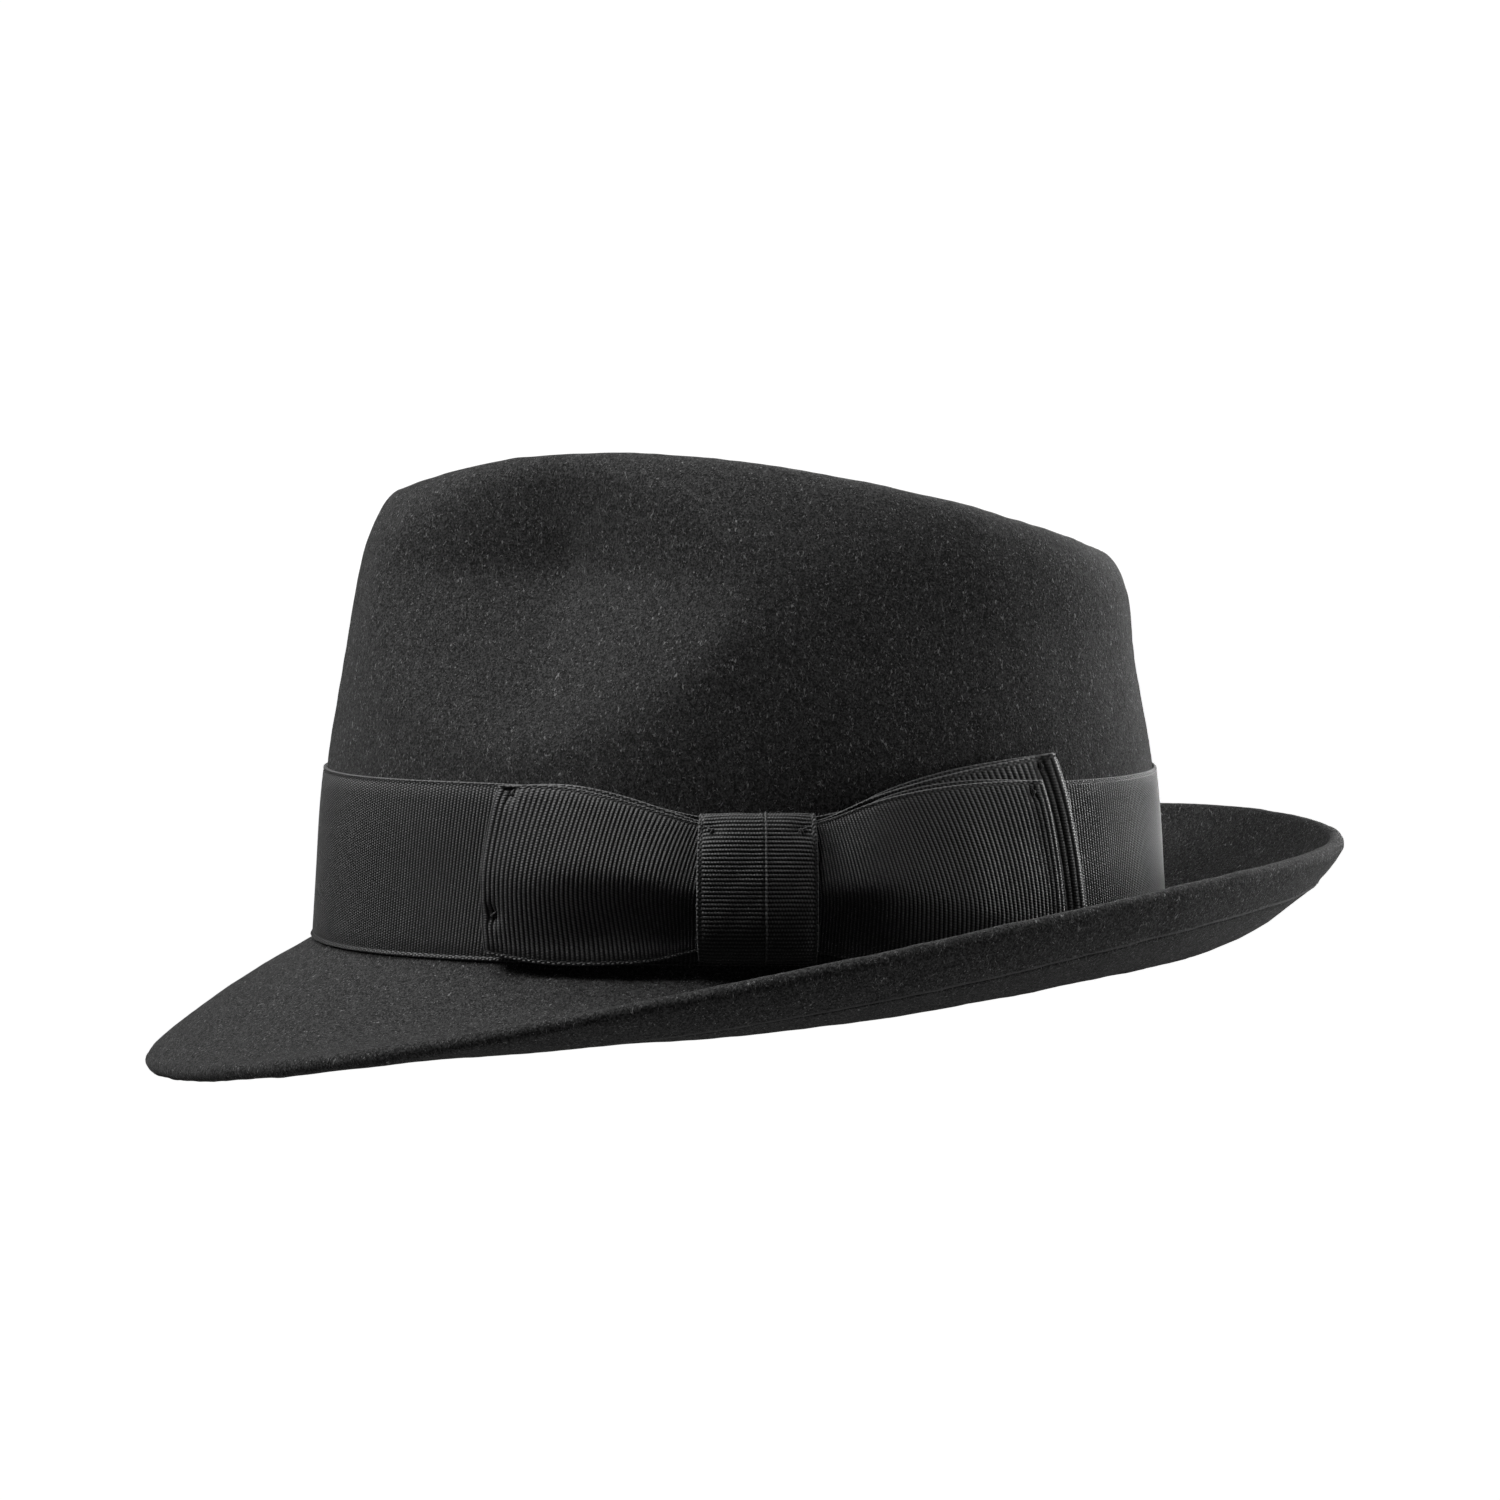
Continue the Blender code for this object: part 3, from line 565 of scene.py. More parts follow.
FELT_LOOK = felt_material()
RIBBON_LOOK = ribbon_material("grosgrain")
TACK_LOOK = thread_material("tack_thread", 0.005)
STITCH_LOOK = thread_material("sweatband_thread", 0.13, warmth=0.35)
LEATHER_LOOK = leather_material()
SATIN_LOOK = satin_material()
TAPE_LOOK = tape_material()


# -------- felt
FELT_CELLS = 432
TOP_RIM_INNER, TOP_RIM_OUTER = 0.136, 0.098     # the crown's rim lies between these
WELT_RIDGE, WELT_GROOVE = 0.00032, 0.00045      # relief of the welt's felted-down edge
WELT_SOFTNESS = 0.0003
BROAD_WAVE, FINE_WAVE = 0.00010, 0.00006        # unevenness of the felt
FAR_FROM_WELT = 99.0


def make_felt():
    """One blocked felt: outside from crease to brim edge, the felted-down welt, and the inside."""
    angles = around(FELT_CELLS)
    crown = -np.concatenate([
        np.linspace(CREASE, TOP_RIM_INNER, 22)[:-1],
        np.linspace(TOP_RIM_INNER, TOP_RIM_OUTER, 28)[:-1],
        np.linspace(TOP_RIM_OUTER, BREAK_ROUNDING, 50),
    ])
    turn = np.linspace(-BREAK_ROUNDING, BREAK_ROUNDING, 8)[1:-1]
    rim = BRIM_WIDTH - EDGE / 2
    brim = np.linspace(BREAK_ROUNDING, rim, 30)
    round_it = np.radians(np.linspace(0, 180, 13))[1:-1]
    nose = rim + EDGE / 2 * np.sin(round_it)
    nose_depth = EDGE / 2 * (1 - np.cos(round_it))
    welt_start = BRIM_WIDTH - WELT_WIDTH
    under = np.concatenate([
        np.linspace(rim, welt_start + 0.0014, 9),
        np.linspace(welt_start + 0.0012, welt_start - 0.0012, 13),
        np.linspace(welt_start - 0.0018, BREAK_ROUNDING, 12),
    ])
    under_depth = np.interp(under, [welt_start - 0.006, welt_start, rim], [FELT, WELT_THICK, EDGE])
    under_depth += WELT_RIDGE * bell((under - welt_start - 0.0003) / WELT_SOFTNESS)
    under_depth -= WELT_GROOVE * bell((under - welt_start + 0.0004) / WELT_SOFTNESS)
    inside = -np.linspace(BREAK_ROUNDING, CREASE, 40)[1:]
    path = np.concatenate([crown, turn, brim, nose, under, turn[::-1], inside])
    outside = len(crown) + len(turn) + len(brim)
    depth = np.concatenate([
        np.zeros(outside), nose_depth, under_depth, np.full(len(turn) + len(inside), FELT),
    ])
    points = felt_layer(angles, path, depth)
    skin = points[:outside + len(nose) + len(under)]
    place = path[:len(skin)]
    uneven = BROAD_WAVE * ripple(skin, 0.022, 1) + FINE_WAVE * ripple(skin, 0.006, 2)
    under_band = smooth_step((BAND_TOP + 0.001 - np.abs(place)) / 0.002) * (place < 0.001)
    at_break = (np.arange(len(skin)) >= outside) * (1 - smooth_step((place - 0.004) / 0.006))
    skin += normals_of(skin) * (uneven * (1 - np.maximum(under_band, at_break)[:, None]))[..., None]
    # Millimetres from the welt's edge on the underside, which places the felt's painted highlight
    # and shade along the welt; far off elsewhere.
    beside_welt = np.full(points.shape, FAR_FROM_WELT)
    beside_welt[outside:len(skin), :, 0] = (place[outside:, None] - welt_start) / MM
    made = add_mesh("felt", *tube(points, tip=True), FELT_LOOK, beside_welt.reshape(-1, 3))
    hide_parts("felt_body", "front_brim")
    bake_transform(made)


# -------- ribbon
BAND_COLUMNS, BOW_COLUMNS = 4, 6     # mesh columns for each rib


def ribbon_rows(width, middle_rows=15):
    """Shares across a ribbon of this width, close together along both selvedges."""
    edge = np.array([0, 0.12, 0.30, 0.48, 0.66, 0.84, 1.02, 1.25]) * MM / width
    middle = np.linspace(edge[-1], 1 - edge[-1], middle_rows + 2)[1:-1]
    return np.concatenate([edge, middle, 1 - edge[::-1]])


SELVEDGE_WIDTH = 0.9 * MM
FIRST_BEADS, SECOND_BEADS, BEAD_REACH = 0.30 * MM, 0.72 * MM, 0.16 * MM


def weave_relief(phase, from_edge):
    """Height of the weave on the ribbon's face: ribs, and two lines of beads along a selvedge."""
    rib = np.abs(np.cos(math.pi * phase))
    body = smooth_step((from_edge - SELVEDGE_WIDTH) / (0.35 * MM))
    first = bell((from_edge - FIRST_BEADS) / BEAD_REACH)
    second = bell((from_edge - SECOND_BEADS) / BEAD_REACH)
    return RIB_RELIEF * (rib * body + 1.3 * rib * first + 1.3 * (1 - rib) * second)


def edge_thickness(from_edge):
    """Share of the full thickness left this far from a selvedge, which is rounded."""
    return np.sqrt(np.clip(1 - (1 - from_edge / (0.22 * MM)).clip(0) ** 2 * 0.8, 0, 1))


def weave_values(phase, share, width):
    """The shaders' coordinates on a ribbon: ribs along, then mm across and mm from the edge."""
    share = np.broadcast_to(share, phase.shape)
    from_edge = np.minimum(share, 1 - share) * width
    return np.stack([phase, share * width / MM, from_edge / MM], axis=-1), from_edge


def ribbon_strip(name, middle, phase, share, width, side, seam=None, from_seam=None):
    """A strip of grosgrain about a middle surface [along, across, xyz]; side is its face's sign."""
    weave, from_edge = weave_values(phase, share, width)
    normal = normals_of(middle) * side
    thin = RIBBON / 2 * edge_thickness(from_edge)
    relief = weave_relief(phase, from_edge)
    if seam is not None:
        relief = relief + seam
        # the ribbon's painted edge highlight also runs along the seam's lip
        weave[..., 2] = np.minimum(weave[..., 2], from_seam)
    face = middle + normal * (thin + relief * edge_thickness(from_edge))[..., None]
    back = middle - normal * thin[..., None]
    rings = np.concatenate([face, back[:, ::-1]], axis=1)
    weave = np.concatenate([weave, weave[:, ::-1]], axis=1).reshape(-1, 3)
    return add_mesh(name, *tube(rings), RIBBON_LOOK, weave)


def dress(piece, node):
    """The piece rides on the hat and stands for this node, whose CAD part is hidden."""
    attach(piece, "hat")
    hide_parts(node)


# -------- band
KNOT_MIDDLE = math.radians(92.3)


def from_knot(angle):
    """The angle from the knot's middle, between -pi and pi."""
    return np.arctan2(np.sin(angle - KNOT_MIDDLE), np.cos(angle - KNOT_MIDDLE))


def band_top(angle):
    """The band's upper edge; it dips where the bow's knot gathers it."""
    return BAND_TOP - BAND_DIP * bell(from_knot(angle) / math.radians(18))


BAND_RIBS = 644
BAND_PULL = 4.2 * MM / 0.095        # how far the bow drags the band's ribs, as an angle
BAND_FLARE = 0.7 * MM       # how far the lower edge stands out at the back, where it meets the brim


def make_band():
    columns = around(BAND_RIBS * BAND_COLUMNS)
    width = BAND_TOP - BAND_FOOT
    share = ribbon_rows(width, 11)[:, None]
    off = from_knot(columns)
    pulled = -np.sign(off) * BAND_PULL * bell((np.abs(off) - 0.62) / 0.42)
    angle = columns[None, :] + pulled * (share - 0.15)
    height = BAND_FOOT + (band_top(angle) - BAND_FOOT) * share
    phase = np.broadcast_to(np.arange(len(columns)) / BAND_COLUMNS, angle.shape)
    weave, from_edge = weave_values(phase, share, width)
    thin = edge_thickness(from_edge)
    slack = 0.00010 * (1 + ripple(on_wall(angle, height, 0.0), 0.035, 4))
    flare = BAND_FLARE * smooth_step((2.2 * MM - height) / (1.6 * MM))
    flare = flare * (1 - 0.5 * np.sin(angle) ** 2 - 0.15 * (1 + np.cos(angle)))
    inner = BAND_GAP + flare + RIBBON / 2 * (1 - thin)
    relief = (weave_relief(phase, from_edge) + slack) * thin
    outer = BAND_GAP + flare + RIBBON / 2 * (1 + thin) + relief
    face = on_wall(angle, height, outer)
    keep = [0, 3, 8, 10, 12, 14, 16, 18, 23, len(share) - 1]
    back = on_wall(angle[keep], height[keep], inner[keep])
    rings = np.concatenate([face, back[::-1]])
    weave = np.concatenate([weave, weave[keep][::-1]]).reshape(-1, 3)
    band = add_mesh("band_ribbon", *tube(rings, closed=True), RIBBON_LOOK, weave)
    dress(band, "hatband")


# -------- bow
# Edges run from under the knot to the fold: (angle in degrees, height in mm).
FRONT_UPPER = [(89.5, 31.6), (84.8, 32.9), (78.0, 36.5), (72.2, 39.2), (66.2, 40.8), (58.5, 40.6)]
FRONT_LOWER = [(89.5, 5.6), (84.0, 3.9), (79.2, 1.8), (72.7, 0.8), (65.0, 0.8), (57.4, 2.6)]
REAR_UPPER = [(93.5, 31.6), (99.7, 33.0), (105.2, 36.5), (111.2, 39.4), (120.0, 41.4), (130.4, 41.8)]
REAR_LOWER = [(93.5, 5.6), (99.5, 3.9), (106.0, 1.8), (114.0, 1.0), (123.0, 1.2), (132.6, 2.0)]
FAN_UPPER = [(93.5, 32.0), (99.7, 33.4), (105.2, 37.4), (111.2, 41.0), (121.0, 44.9), (134.2, 48.2)]
FAN_LOWER = [(93.5, 6.0), (99.5, 4.5), (106.0, 3.4), (114.0, 3.0), (125.0, 3.0), (138.4, 3.4)]
# The ridge of each loop along the same way: (share of the width, height of the ridge in mm).
FRONT_RIDGE = [(.47, 2.5), (.50, 3.6), (.55, 4.6), (.55, 4.4), (.51, 3.2), (.45, 1.5)]
REAR_RIDGE = [(.47, 2.5), (.50, 3.5), (.49, 4.6), (.40, 4.4), (.28, 3.0), (.15, 0.8)]
FLAT = [(.5, 0.0)] * 6
FOLD_BULGE = 1.0            # how far the middle of a fold stands past its ends, in degrees
# How far the ribs' upper ends lean towards the knot, in mm: each pair's second value.
RIB_LEAN = [(0, 0.0), (0, 3.0), (0, 4.6), (0, 4.0), (0, 2.0), (0, 0.0)]
LEAN_FROM = 0.38            # the share of the width above which they lean
LOOP_WIDTH = 0.040
ARC = 0.100                 # radius that turns a length along the wall into an angle
# Stitched-down spots: (angle in degrees, height in mm, dent in mm, its radius in mm).
TACKS = [
    (60.0, 39.0, 1.55, 1.5), (58.2, 11.5, 1.55, 1.6), (86.6, 31.4, 1.05, 1.9),
    (97.6, 31.4, 1.05, 1.9), (129.2, 38.8, 0.70, 1.3), (132.2, 45.0, 0.70, 1.2),
]


def along_curve(pairs, share):
    """Two spline values at shares of the way through evenly spaced pairs."""
    table = np.array(pairs, float)
    values = spline_through(np.linspace(0, 1, len(table)), table, share.ravel())
    return values.reshape(share.shape + (2,))


def ridge_shape(width, middle):
    """A rounded ridge across the ribbon, 1 at its middle, that falls slowly above and fast below."""
    reach = np.where(width > middle, 1 - middle, np.minimum(0.36, middle))
    t = np.sqrt(((width - middle) / reach) ** 2 + 0.02) - 0.14
    return 0.5 * (1 - t + np.sqrt((1 - t) ** 2 + 0.01))


def dents(angle, height, tacks):
    """Depth in mm of the dents that these tacks pull, at these angles and heights."""
    depth = np.zeros(angle.shape)
    for degrees, level, deep, radius in tacks:
        along = (angle - math.radians(degrees)) * ARC / MM
        rise = height - level
        depth += deep * bell(np.hypot(along, rise) / radius)
    return depth


def make_loop(name, node, upper, lower, ridge, base, fold, length, under_stop, lean, lift, tacks):
    """A ribbed loop: its outer layer, the fold at its end and the layer beneath.

    base, in mm: how far the outer layer stands out at the knot and at the fold, then the layer
    beneath.  fold is the fold's thickness and lift what raises it, in mm.  length runs from the
    knot to the fold.  The layer beneath ends at the share under_stop; lean scales RIB_LEAN.
    """
    outward = 1.0 if upper[-1][0] > upper[0][0] else -1.0
    share_across = ribbon_rows(LOOP_WIDTH, 19)[None, :]
    bend = fold * MM / 2
    turn_length = math.pi * bend
    whole = length * (2 - under_stop) + turn_length
    run = np.arange(0, whole, RIB / BOW_COLUMNS)
    spin = np.clip((run - length) / bend, 0, math.pi)
    far = bend * np.sin(spin)
    inner = ((1 - np.cos(spin)) / 2)[:, None]
    past = run > length + turn_length
    share = np.where(past, 1 - (run - length - turn_length) / length, np.minimum(run / length, 1))
    tilt = along_curve(RIB_LEAN, share)[:, 1:] * lean * MM / length
    above = np.clip((share_across - LEAN_FROM) / (1 - LEAN_FROM), 0, 1) ** 1.3
    share = share[:, None] - tilt * above * (1 - inner)
    top = along_curve(upper, share)
    foot = along_curve(lower, share)
    crest = along_curve(ridge, share)
    bulge = 4 * share_across * (1 - share_across) * share
    edge = foot + (top - foot) * share_across[..., None]
    degrees = edge[..., 0] + outward * FOLD_BULGE * bulge
    height = edge[..., 1]
    near_knot = 1 - smooth_step((share - 0.22) / 0.25)
    outer = base[0] * near_knot + base[1] * (1 - near_knot)
    raised = lift * smooth_step((share - 0.960) / 0.035)
    outer = outer + crest[..., 1] * ridge_shape(share_across, crest[..., 0]) + raised
    under = base[2] * near_knot + base[3] * (1 - near_knot) + raised
    reach = np.clip((share - under_stop) / (1 - under_stop), 0, 1)
    height = height + 0.9 * inner * share_across ** 8 * np.sin(math.pi * reach)
    angle = np.radians(degrees) + outward * far[:, None] / ARC
    out = outer * (1 - inner) + under * inner
    out = out - dents(angle, height, tacks) * (1 - inner)
    middle = on_wall(angle, height * MM, out * MM)
    middle += normals_of(middle) * 0.00010 * ripple(middle, 0.016, 7)[..., None]
    phase = np.broadcast_to(run[:, None] / RIB, height.shape)
    loop = ribbon_strip(name, middle, phase, share_across, LOOP_WIDTH, outward)
    dress(loop, node)


KNOT_EDGES = (85.0, 99.4)
# The knot's section round the gathered loops: (height, out) in mm.
KNOT_SECTION = [
    (29.5, 1.96), (32.8, 1.96), (34.2, 2.5), (34.6, 3.6), (33.9, 5.4), (31.2, 7.0), (26.0, 8.3),
    (19.0, 8.9), (12.0, 8.5), (6.5, 7.3), (3.2, 5.3), (2.0, 3.5), (2.3, 2.5), (3.7, 1.96),
    (7.0, 1.96),
]
KNOT_LAP = 0.56             # where its edge laps, as a share of its width
SEAM_LIP = 0.22             # the raised lip past the lap, in mm


def make_knot():
    """The band of ribbon round the gathered loops, its own edge lapped down its middle."""
    section = np.array(KNOT_SECTION)
    steps = np.concatenate([[0], np.cumsum(np.linalg.norm(np.diff(section, axis=0), axis=1))]) * MM
    run = np.arange(0, steps[-1], RIB / BOW_COLUMNS)
    centre = spline_through(steps, section, run)
    width = math.radians(KNOT_EDGES[1] - KNOT_EDGES[0]) * ARC * 0.97
    close = np.array([-1.1, -0.85, -0.6, -0.4, -0.22, -0.08, 0.04, 0.16, 0.28, 0.42, 0.6, 0.8])
    close = close * MM / width
    rows = ribbon_rows(width, 13)
    rows = rows[np.abs(rows - KNOT_LAP) > 0.052]
    share = np.sort(np.concatenate([rows, KNOT_LAP + close]))[None, :]
    across_it = KNOT_EDGES[1] - KNOT_EDGES[0]
    angle = np.radians(KNOT_EDGES[0] + across_it * share) + 0 * run[:, None]
    height = centre[:, :1] + 0 * share
    out = centre[:, 1:] + 0 * share
    front = smooth_step((out - 3.5) / 2)
    side = np.abs(share - 0.5) * 2
    height = height - front * 0.4 * side ** 4 * smooth_step((height - 22) / 8)
    out = out - front * 0.4 * side ** 6 - dents(angle, height, TACKS[2:4]) * front
    middle = on_wall(angle, height * MM, out * MM)
    middle += normals_of(middle) * 0.00007 * ripple(middle, 0.009, 9)[..., None]
    phase = np.broadcast_to(run[:, None] / RIB, height.shape)
    past = (share - KNOT_LAP) * width / MM
    rib = 0.5 + 0.5 * np.cos(2 * math.pi * phase)
    beads = bell((past + 0.42) / 0.16) * (1 - rib) + bell((past + 0.80) / 0.16) * rib
    lip, step = bell((past - SEAM_LIP) / 0.15), bell((past + 0.05) / 0.12)
    seam = 0.00016 * beads + 0.00042 * lip - 0.00030 * step
    # distance from the seam's lip, along which the ribbon's painted edge highlight also runs
    from_lip = np.abs(past - SEAM_LIP)
    knot = ribbon_strip("knot_ribbon", middle, phase, share, width, 1.0, seam, from_lip)
    dress(knot, "bow_knot")


def strand(path, radius, around_it=8):
    """Rings of a thread along path [ring, xyz] with rounded ends."""
    along = unit(np.gradient(path, axis=0))
    side = unit(np.cross(along, path * [1, 1, 0] + [0, 0, 1e-6]))
    up = np.cross(side, along)
    spin = around(around_it)
    share = np.linspace(-1, 1, len(path))
    swell = radius * np.sqrt(np.clip(1 - np.abs(share) ** 6 * 0.9, 0, 1))
    ring = np.cos(spin)[:, None] * side[:, None] + np.sin(spin)[:, None] * up[:, None]
    return path[:, None] + ring * swell[:, None, None]


def joined(solids):
    """Points and faces of several tubes as one mesh."""
    points, faces, start = [], [], 0
    for rings in solids:
        these, sides = tube(rings)
        points.append(these)
        faces += [[start + index for index in side] for side in sides]
        start += len(these)
    return np.concatenate(points), faces


TACK_THREAD = 0.00030
# Each tack's stitches: (middle angle in degrees, height, out, lean in degrees, length) in mm.
TACK_STITCHES = [
    [(60.0, 39.0, 3.70, 40, 1.9), (60.2, 38.8, 3.88, -35, 1.5)],
    [(58.2, 11.5, 4.22, 80, 1.9), (58.3, 11.8, 4.38, 55, 1.4)],
    [(86.6, 31.2, 6.45, -60, 2.0), (86.7, 31.0, 6.62, 20, 1.4)],
    [(97.6, 31.2, 6.52, 60, 2.0), (97.5, 31.0, 6.72, -20, 1.4)],
    [(129.2, 38.8, 6.02, 5, 1.9), (129.3, 38.9, 6.18, 40, 1.3)],
    [(132.2, 45.0, 3.40, 5, 1.8), (132.3, 44.9, 3.56, 45, 1.2)],
]


def make_tacks():
    for number, stitches in enumerate(TACK_STITCHES, 1):
        solids = []
        for degrees, height, out, lean, length in stitches:
            share = np.linspace(-1, 1, 9)
            spin = math.radians(lean)
            rise = height + length / 2 * share * math.cos(spin)
            angle = math.radians(degrees) + length / 2 * share * math.sin(spin) * MM / ARC
            arch = out + 0.30 * (1 - share ** 2)
            solids.append(strand(on_wall(angle, rise * MM, arch * MM), TACK_THREAD))
        tack = add_mesh(f"tack_stitches_{number}", *joined(solids), TACK_LOOK)
        dress(tack, f"bow_tack_{number}")


def make_bow():
    make_loop("front_loop_ribbon", "bow_front_loop", FRONT_UPPER, FRONT_LOWER, FRONT_RIDGE,
              (4.1, 3.8, 3.0, 2.0), 1.8, 0.0535, 0.0, 1.0, 0.2, TACKS[:2])
    make_loop("rear_loop_ribbon", "bow_rear_loop", REAR_UPPER, REAR_LOWER, REAR_RIDGE,
              (4.2, 5.6, 4.3, 4.42), 1.3, 0.0690, 0.45, 0.9, 0.5, TACKS[4:5])
    make_loop("rear_fan_ribbon", "bow_rear_fan", FAN_UPPER, FAN_LOWER, FLAT,
              (3.0, 3.1, 3.0, 2.0), 1.1, 0.0730, 0.45, 0.9, 1.3, TACKS[5:])
    make_knot()
    make_tacks()


# -------- inside
BACK_OPENING = 0.0055       # half the gap between the sweatband's ends, as an angle


def make_sweatband():
    """The leather band, its ends meeting at the back."""
    cells = 360
    angle = math.pi + np.linspace(BACK_OPENING, 2 * math.pi - BACK_OPENING, cells)[:, None]
    inner_levels = np.linspace(0.03, 0.97, 18)
    levels = np.concatenate([[0, 0.004, 0.012], inner_levels, [0.988, 0.996, 1]])[None, :]
    tall = SWEATBAND_TOP - SWEATBAND_FOOT
    height = SWEATBAND_FOOT + tall * levels + 0 * angle
    wave = ripple(on_wall(angle, height, 0.0), 0.05, 11)
    lean = (0.0012 + 0.0005 * wave) * levels ** 2.2
    from_edge = np.minimum(levels, 1 - levels)
    thin = np.sqrt(np.clip(1 - (1 - from_edge / 0.012).clip(0) ** 2 * 0.7, 0, 1))
    ends = np.minimum(np.arange(cells), np.arange(cells)[::-1])[:, None]
    thin = thin * np.where(ends == 0, 0.55, 1)
    middle = SWEATBAND_DEPTH + LEATHER / 2 + lean
    outer = on_wall(angle, height, -(middle - LEATHER / 2 * thin))
    inner = on_wall(angle, height, -(middle + LEATHER / 2 * thin))
    rings = np.concatenate([inner, outer[:, ::-1]], axis=1)
    weave = np.stack([angle + 0 * height, from_edge * tall + 0 * angle, height], axis=-1)
    weave = np.concatenate([weave, weave[:, ::-1]], axis=1).reshape(-1, 3)
    band = add_mesh("sweatband_strip", *tube(rings), LEATHER_LOOK, weave)
    dress(band, "sweatband")


def make_tape():
    """The tape between the sweatband's foot and the felt."""
    angles = around(480)
    levels = [0.0012, 0.0016, 0.0030, 0.0060, 0.0090, 0.0106, 0.0110]
    rings = np.concatenate([
        np.array([on_wall(angles, level, -LINING_DEPTH) for level in levels]),
        np.array([on_wall(angles, level, -LINING_DEPTH - LINING) for level in levels[::-1]]),
    ])
    tape = add_mesh("tape_strip", *tube(rings, closed=True), TAPE_LOOK)
    dress(tape, "reed_tape")


REED_RADIUS, REED_RIDGES = 0.0007, 160


def make_reed():
    """The covered reed in the sweatband's lower edge, ribbed by its cover."""
    angles = around(960)
    radius = REED_RADIUS + 0.00006 * np.cos(REED_RIDGES * angles)
    depth = SWEATBAND_DEPTH + LEATHER / 2
    rings = np.array([
        on_wall(angles, 0.0002 + radius * math.sin(t), radius * math.cos(t) - depth)
        for t in around(10)
    ])
    reed = add_mesh("reed_cord", *tube(rings, closed=True), TAPE_LOOK)
    dress(reed, "sweatband_reed")


STITCHES = 178
STITCH_LENGTH = 0.0024 / 0.094      # as an angle
STITCH_HEIGHT = 0.0060
STITCH_THREAD = 0.00019


def make_stitching():
    """The row of stitches round the sweatband's foot."""
    share = np.linspace(-1, 1, 7)
    solids = []
    for k in range(STITCHES):
        middle_angle = math.pi + 2 * math.pi * (k + 0.5) / STITCHES
        angle = middle_angle + STITCH_LENGTH / 2 * share
        depth = SWEATBAND_DEPTH + LEATHER + 0.00004 + 0.00020 * (1 - share ** 4)
        path = on_wall(angle, STITCH_HEIGHT + 0.00012 * share, -depth)
        solids.append(strand(path, STITCH_THREAD, 6))
    stitching = add_mesh("sweatband_stitches", *joined(solids), STITCH_LOOK)
    dress(stitching, "sweatband_stitching")


# The small bow at the sweatband's back: (length along, half height) in mm.
BACK_BOW = [
    (-8.0, 4.6), (-6.5, 4.4), (-3.5, 3.0), (-1.2, 1.9),
    (1.2, 1.9), (3.5, 3.0), (6.5, 4.4), (8.0, 4.6),
]
BACK_BOW_HEIGHT = 0.016


def make_back_bow():
    """A short ribbon, gathered at its middle over the sweatband's seam."""
    outline = np.array(BACK_BOW) * MM
    run = np.arange(outline[0, 0], outline[-1, 0], RIB / BOW_COLUMNS)
    half = spline_through(outline[:, 0], outline[:, 1:], run)[:, 0]
    width = 0.0092
    share = ribbon_rows(width, 19)[None, :]
    level = 2 * share - 1
    height = BACK_BOW_HEIGHT + half[:, None] * level
    gathered = bell(run / 0.0030)[:, None]
    pleats = 0.0008 * gathered * (0.5 + 0.5 * np.cos(3 * math.pi * level))
    puff = 0.0009 * (1 - gathered) * (1 - level ** 2) + pleats
    depth = SWEATBAND_DEPTH + LEATHER + 2 * GAP + puff
    middle = on_wall(math.pi + run[:, None] / ARC + 0 * level, height, -depth)
    phase = np.broadcast_to(run[:, None] / RIB, height.shape)
    bow = ribbon_strip("back_bow_ribbon", middle, phase, share, width, -1.0)
    dress(bow, "sweatband_back_bow")


def lining_layer(angles, places, slack):
    """Rings round a lining piece's two faces, slack metres further in than where it lies flat."""
    outer = felt_layer(angles, -places, LINING_DEPTH + slack)
    inner = felt_layer(angles, -places, LINING_DEPTH + LINING + slack)
    return np.concatenate([outer, inner[::-1]])


def make_lining():
    """The side of the lining, gathered into the seam round its oval tip, and that tip."""
    angles = around(480)
    below = np.linspace(LINING_FOOT, 0.100, 26)[:-1]
    places = np.concatenate([below, np.linspace(0.100, LINING_SEAM, 14)])
    rise = (places - LINING_FOOT) / (LINING_SEAM - LINING_FOOT)
    waves = 0.5 + 0.5 * np.cos(60 * angles + 1.1 * np.sin(7 * angles))
    loose = 0.5 + 0.5 * np.sin(9 * angles + 2 * np.sin(4 * angles))
    gathers = 0.00075 * rise[:, None] ** 3 * waves[None, :]
    gathers = gathers + 0.0007 * np.sin(math.pi * rise)[:, None] * loose[None, :]
    rings = lining_layer(angles, places, gathers)
    side = add_mesh("side_lining", *tube(rings, closed=True), SATIN_LOOK)
    dress(side, "lining_side")

    rim = LINING_SEAM + 0.0012
    places = np.concatenate([np.linspace(CREASE, 0.140, 16)[:-1], np.linspace(0.140, rim, 20)])
    slack = 0.0004 * (1 + ripple(felt_outside(angles, -places), 0.03, 13))
    slack = slack * smooth_step((places - rim) / 0.010)[:, None]
    rings = lining_layer(angles, places, slack)
    tip = add_mesh("tip_lining", *tube(rings, tip=True), SATIN_LOOK)
    dress(tip, "lining_tip")


make_felt()
make_band()
make_bow()
make_sweatband()
make_tape()
make_reed()
make_stitching()
make_back_bow()
make_lining()


# -------- stage, lights, camera
LIGHT_DISTANCE = 1.4
LIGHT_SIZE = 0.5
LIGHT_AIM = (0.0, 0.0, 0.05)
# Softboxes: (name, degrees round from the bow's side towards the back, degrees up, watts).
LIGHTS = [
    ("front_key", -90, 40, 14.0),
    ("high_front", -60, 68, 8.5),
    ("high_front_far", -120, 68, 5.5),
    ("back_side", 90, 10, 6.0),
    ("back_low", 120, 10, 14.0),
    ("back_low_far", 150, 10, 7.0),
    ("back_high", 135, 40, 6.0),
    ("floor_bounce", 60, -25, 4.0),
    ("under_bounce", -90, -65, 4.0),
]


def point(thing, place, target):
    """Add a lamp or camera to the scene at a place, looking at the target."""
    thing.location = place
    thing.rotation_mode = "QUATERNION"
    thing.rotation_quaternion = (Vector(target) - Vector(place)).to_track_quat("-Z", "Y")
    bpy.context.scene.collection.objects.link(thing)


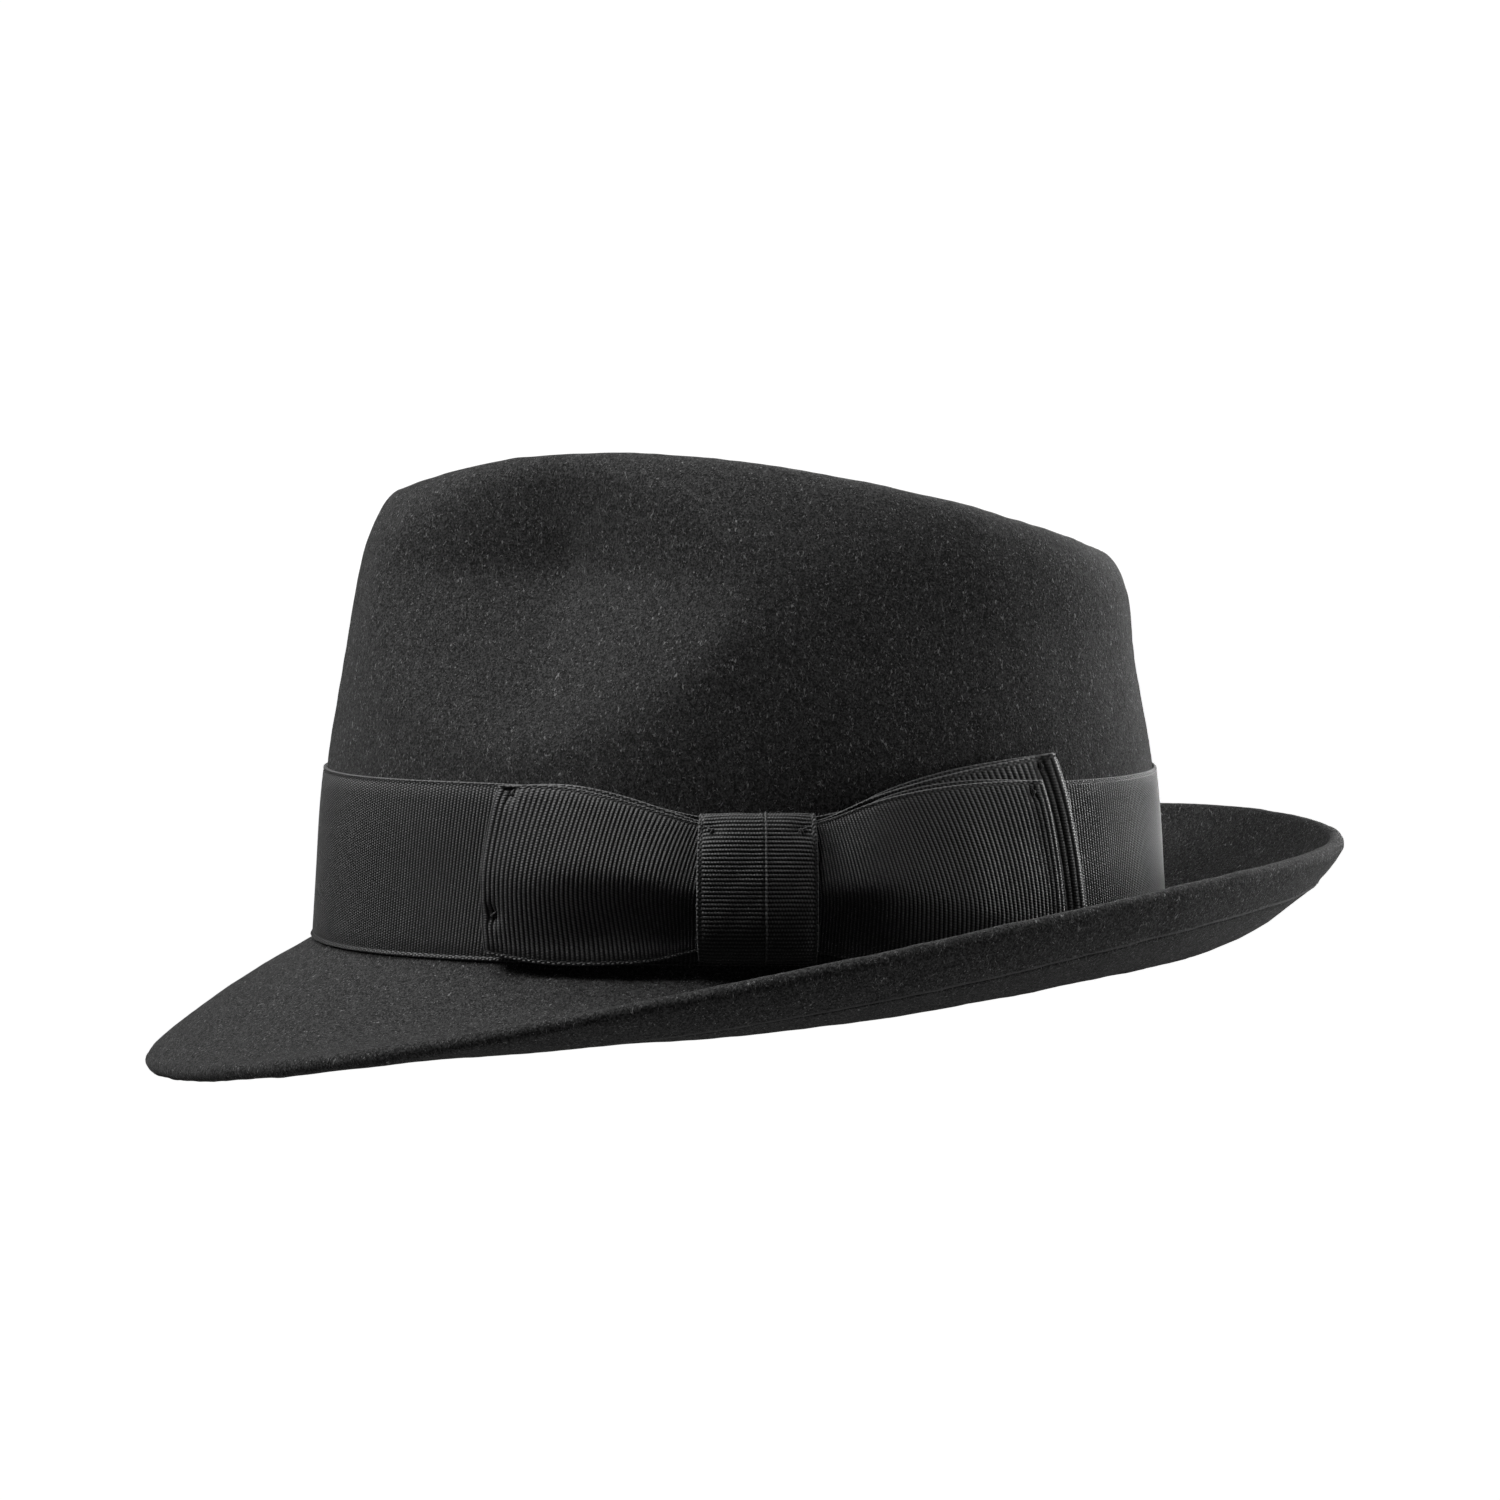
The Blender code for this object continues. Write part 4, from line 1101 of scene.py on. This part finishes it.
def add_softbox(name, azimuth, elevation, watts):
    """A square area light on a sphere round the hat."""
    light = bpy.data.lights.new(name, "AREA")
    light.size = LIGHT_SIZE
    light.energy = watts
    turn, climb = math.radians(azimuth), math.radians(elevation)
    level = math.cos(climb)
    outward = Vector((level * math.cos(turn), level * math.sin(turn), math.sin(climb)))
    place = Vector(LIGHT_AIM) + LIGHT_DISTANCE * outward
    point(bpy.data.objects.new(name, light), place, LIGHT_AIM)


CAMERA_PLACE = (1.17, 0.0, 0.143)
SENSOR_WIDTH = 36.0
CAMERA_LENS = 117.36
CAMERA_AIM = (0.0, 0.0024, 0.0448)


def add_camera():
    data = bpy.data.cameras.new("camera")
    data.sensor_width = SENSOR_WIDTH
    data.lens = CAMERA_LENS
    camera = bpy.data.objects.new("camera", data)
    point(camera, CAMERA_PLACE, CAMERA_AIM)
    bpy.context.scene.camera = camera


def add_stage():
    """A floor far below, white to the camera, that sends no light to the hat."""
    floor_mesh = bpy.data.meshes.new("floor")
    reach, level = 30.0, -1.6
    corners = [(x * reach, y * reach, level) for x, y in ((-1, -1), (1, -1), (1, 1), (-1, 1))]
    floor_mesh.from_pydata(corners, [], [(0, 1, 2, 3)])
    pale = bpy.data.materials.new("floor")
    pale.use_nodes = True
    surface = pale.node_tree.nodes["Principled BSDF"]
    for socket, value in (
        ("Base Color", (0.9, 0.9, 0.9, 1)), ("Roughness", 0.9),
        ("Emission Color", (1, 1, 1, 1)), ("Emission Strength", 1.0),
    ):
        surface.inputs[socket].default_value = value
    floor_mesh.materials.append(pale)
    floor = bpy.data.objects.new("floor", floor_mesh)
    floor.visible_diffuse = floor.visible_glossy = floor.visible_shadow = False
    bpy.context.scene.collection.objects.link(floor)


BACKDROP_LIGHT, EVEN_LIGHT = 1.05, 0.02


def add_world():
    """White to the camera and a dimmer even light on the hat."""
    world = bpy.data.worlds.new("studio")
    world.use_nodes = True
    tree = world.node_tree
    tree.nodes.clear()
    mix = tree.nodes.new("ShaderNodeMixShader")
    for socket, strength in ((1, EVEN_LIGHT), (2, BACKDROP_LIGHT)):
        light = tree.nodes.new("ShaderNodeBackground")
        light.inputs["Strength"].default_value = strength
        light.inputs["Color"].default_value = (1, 1, 1, 1)
        tree.links.new(light.outputs[0], mix.inputs[socket])
    path = tree.nodes.new("ShaderNodeLightPath")
    output = tree.nodes.new("ShaderNodeOutputWorld")
    tree.links.new(path.outputs["Is Camera Ray"], mix.inputs[0])
    tree.links.new(mix.outputs[0], output.inputs[0])
    bpy.context.scene.world = world


add_camera()
add_stage()
add_world()
for light in LIGHTS:
    add_softbox(*light)
bpy.context.scene.view_settings.view_transform = "Standard"
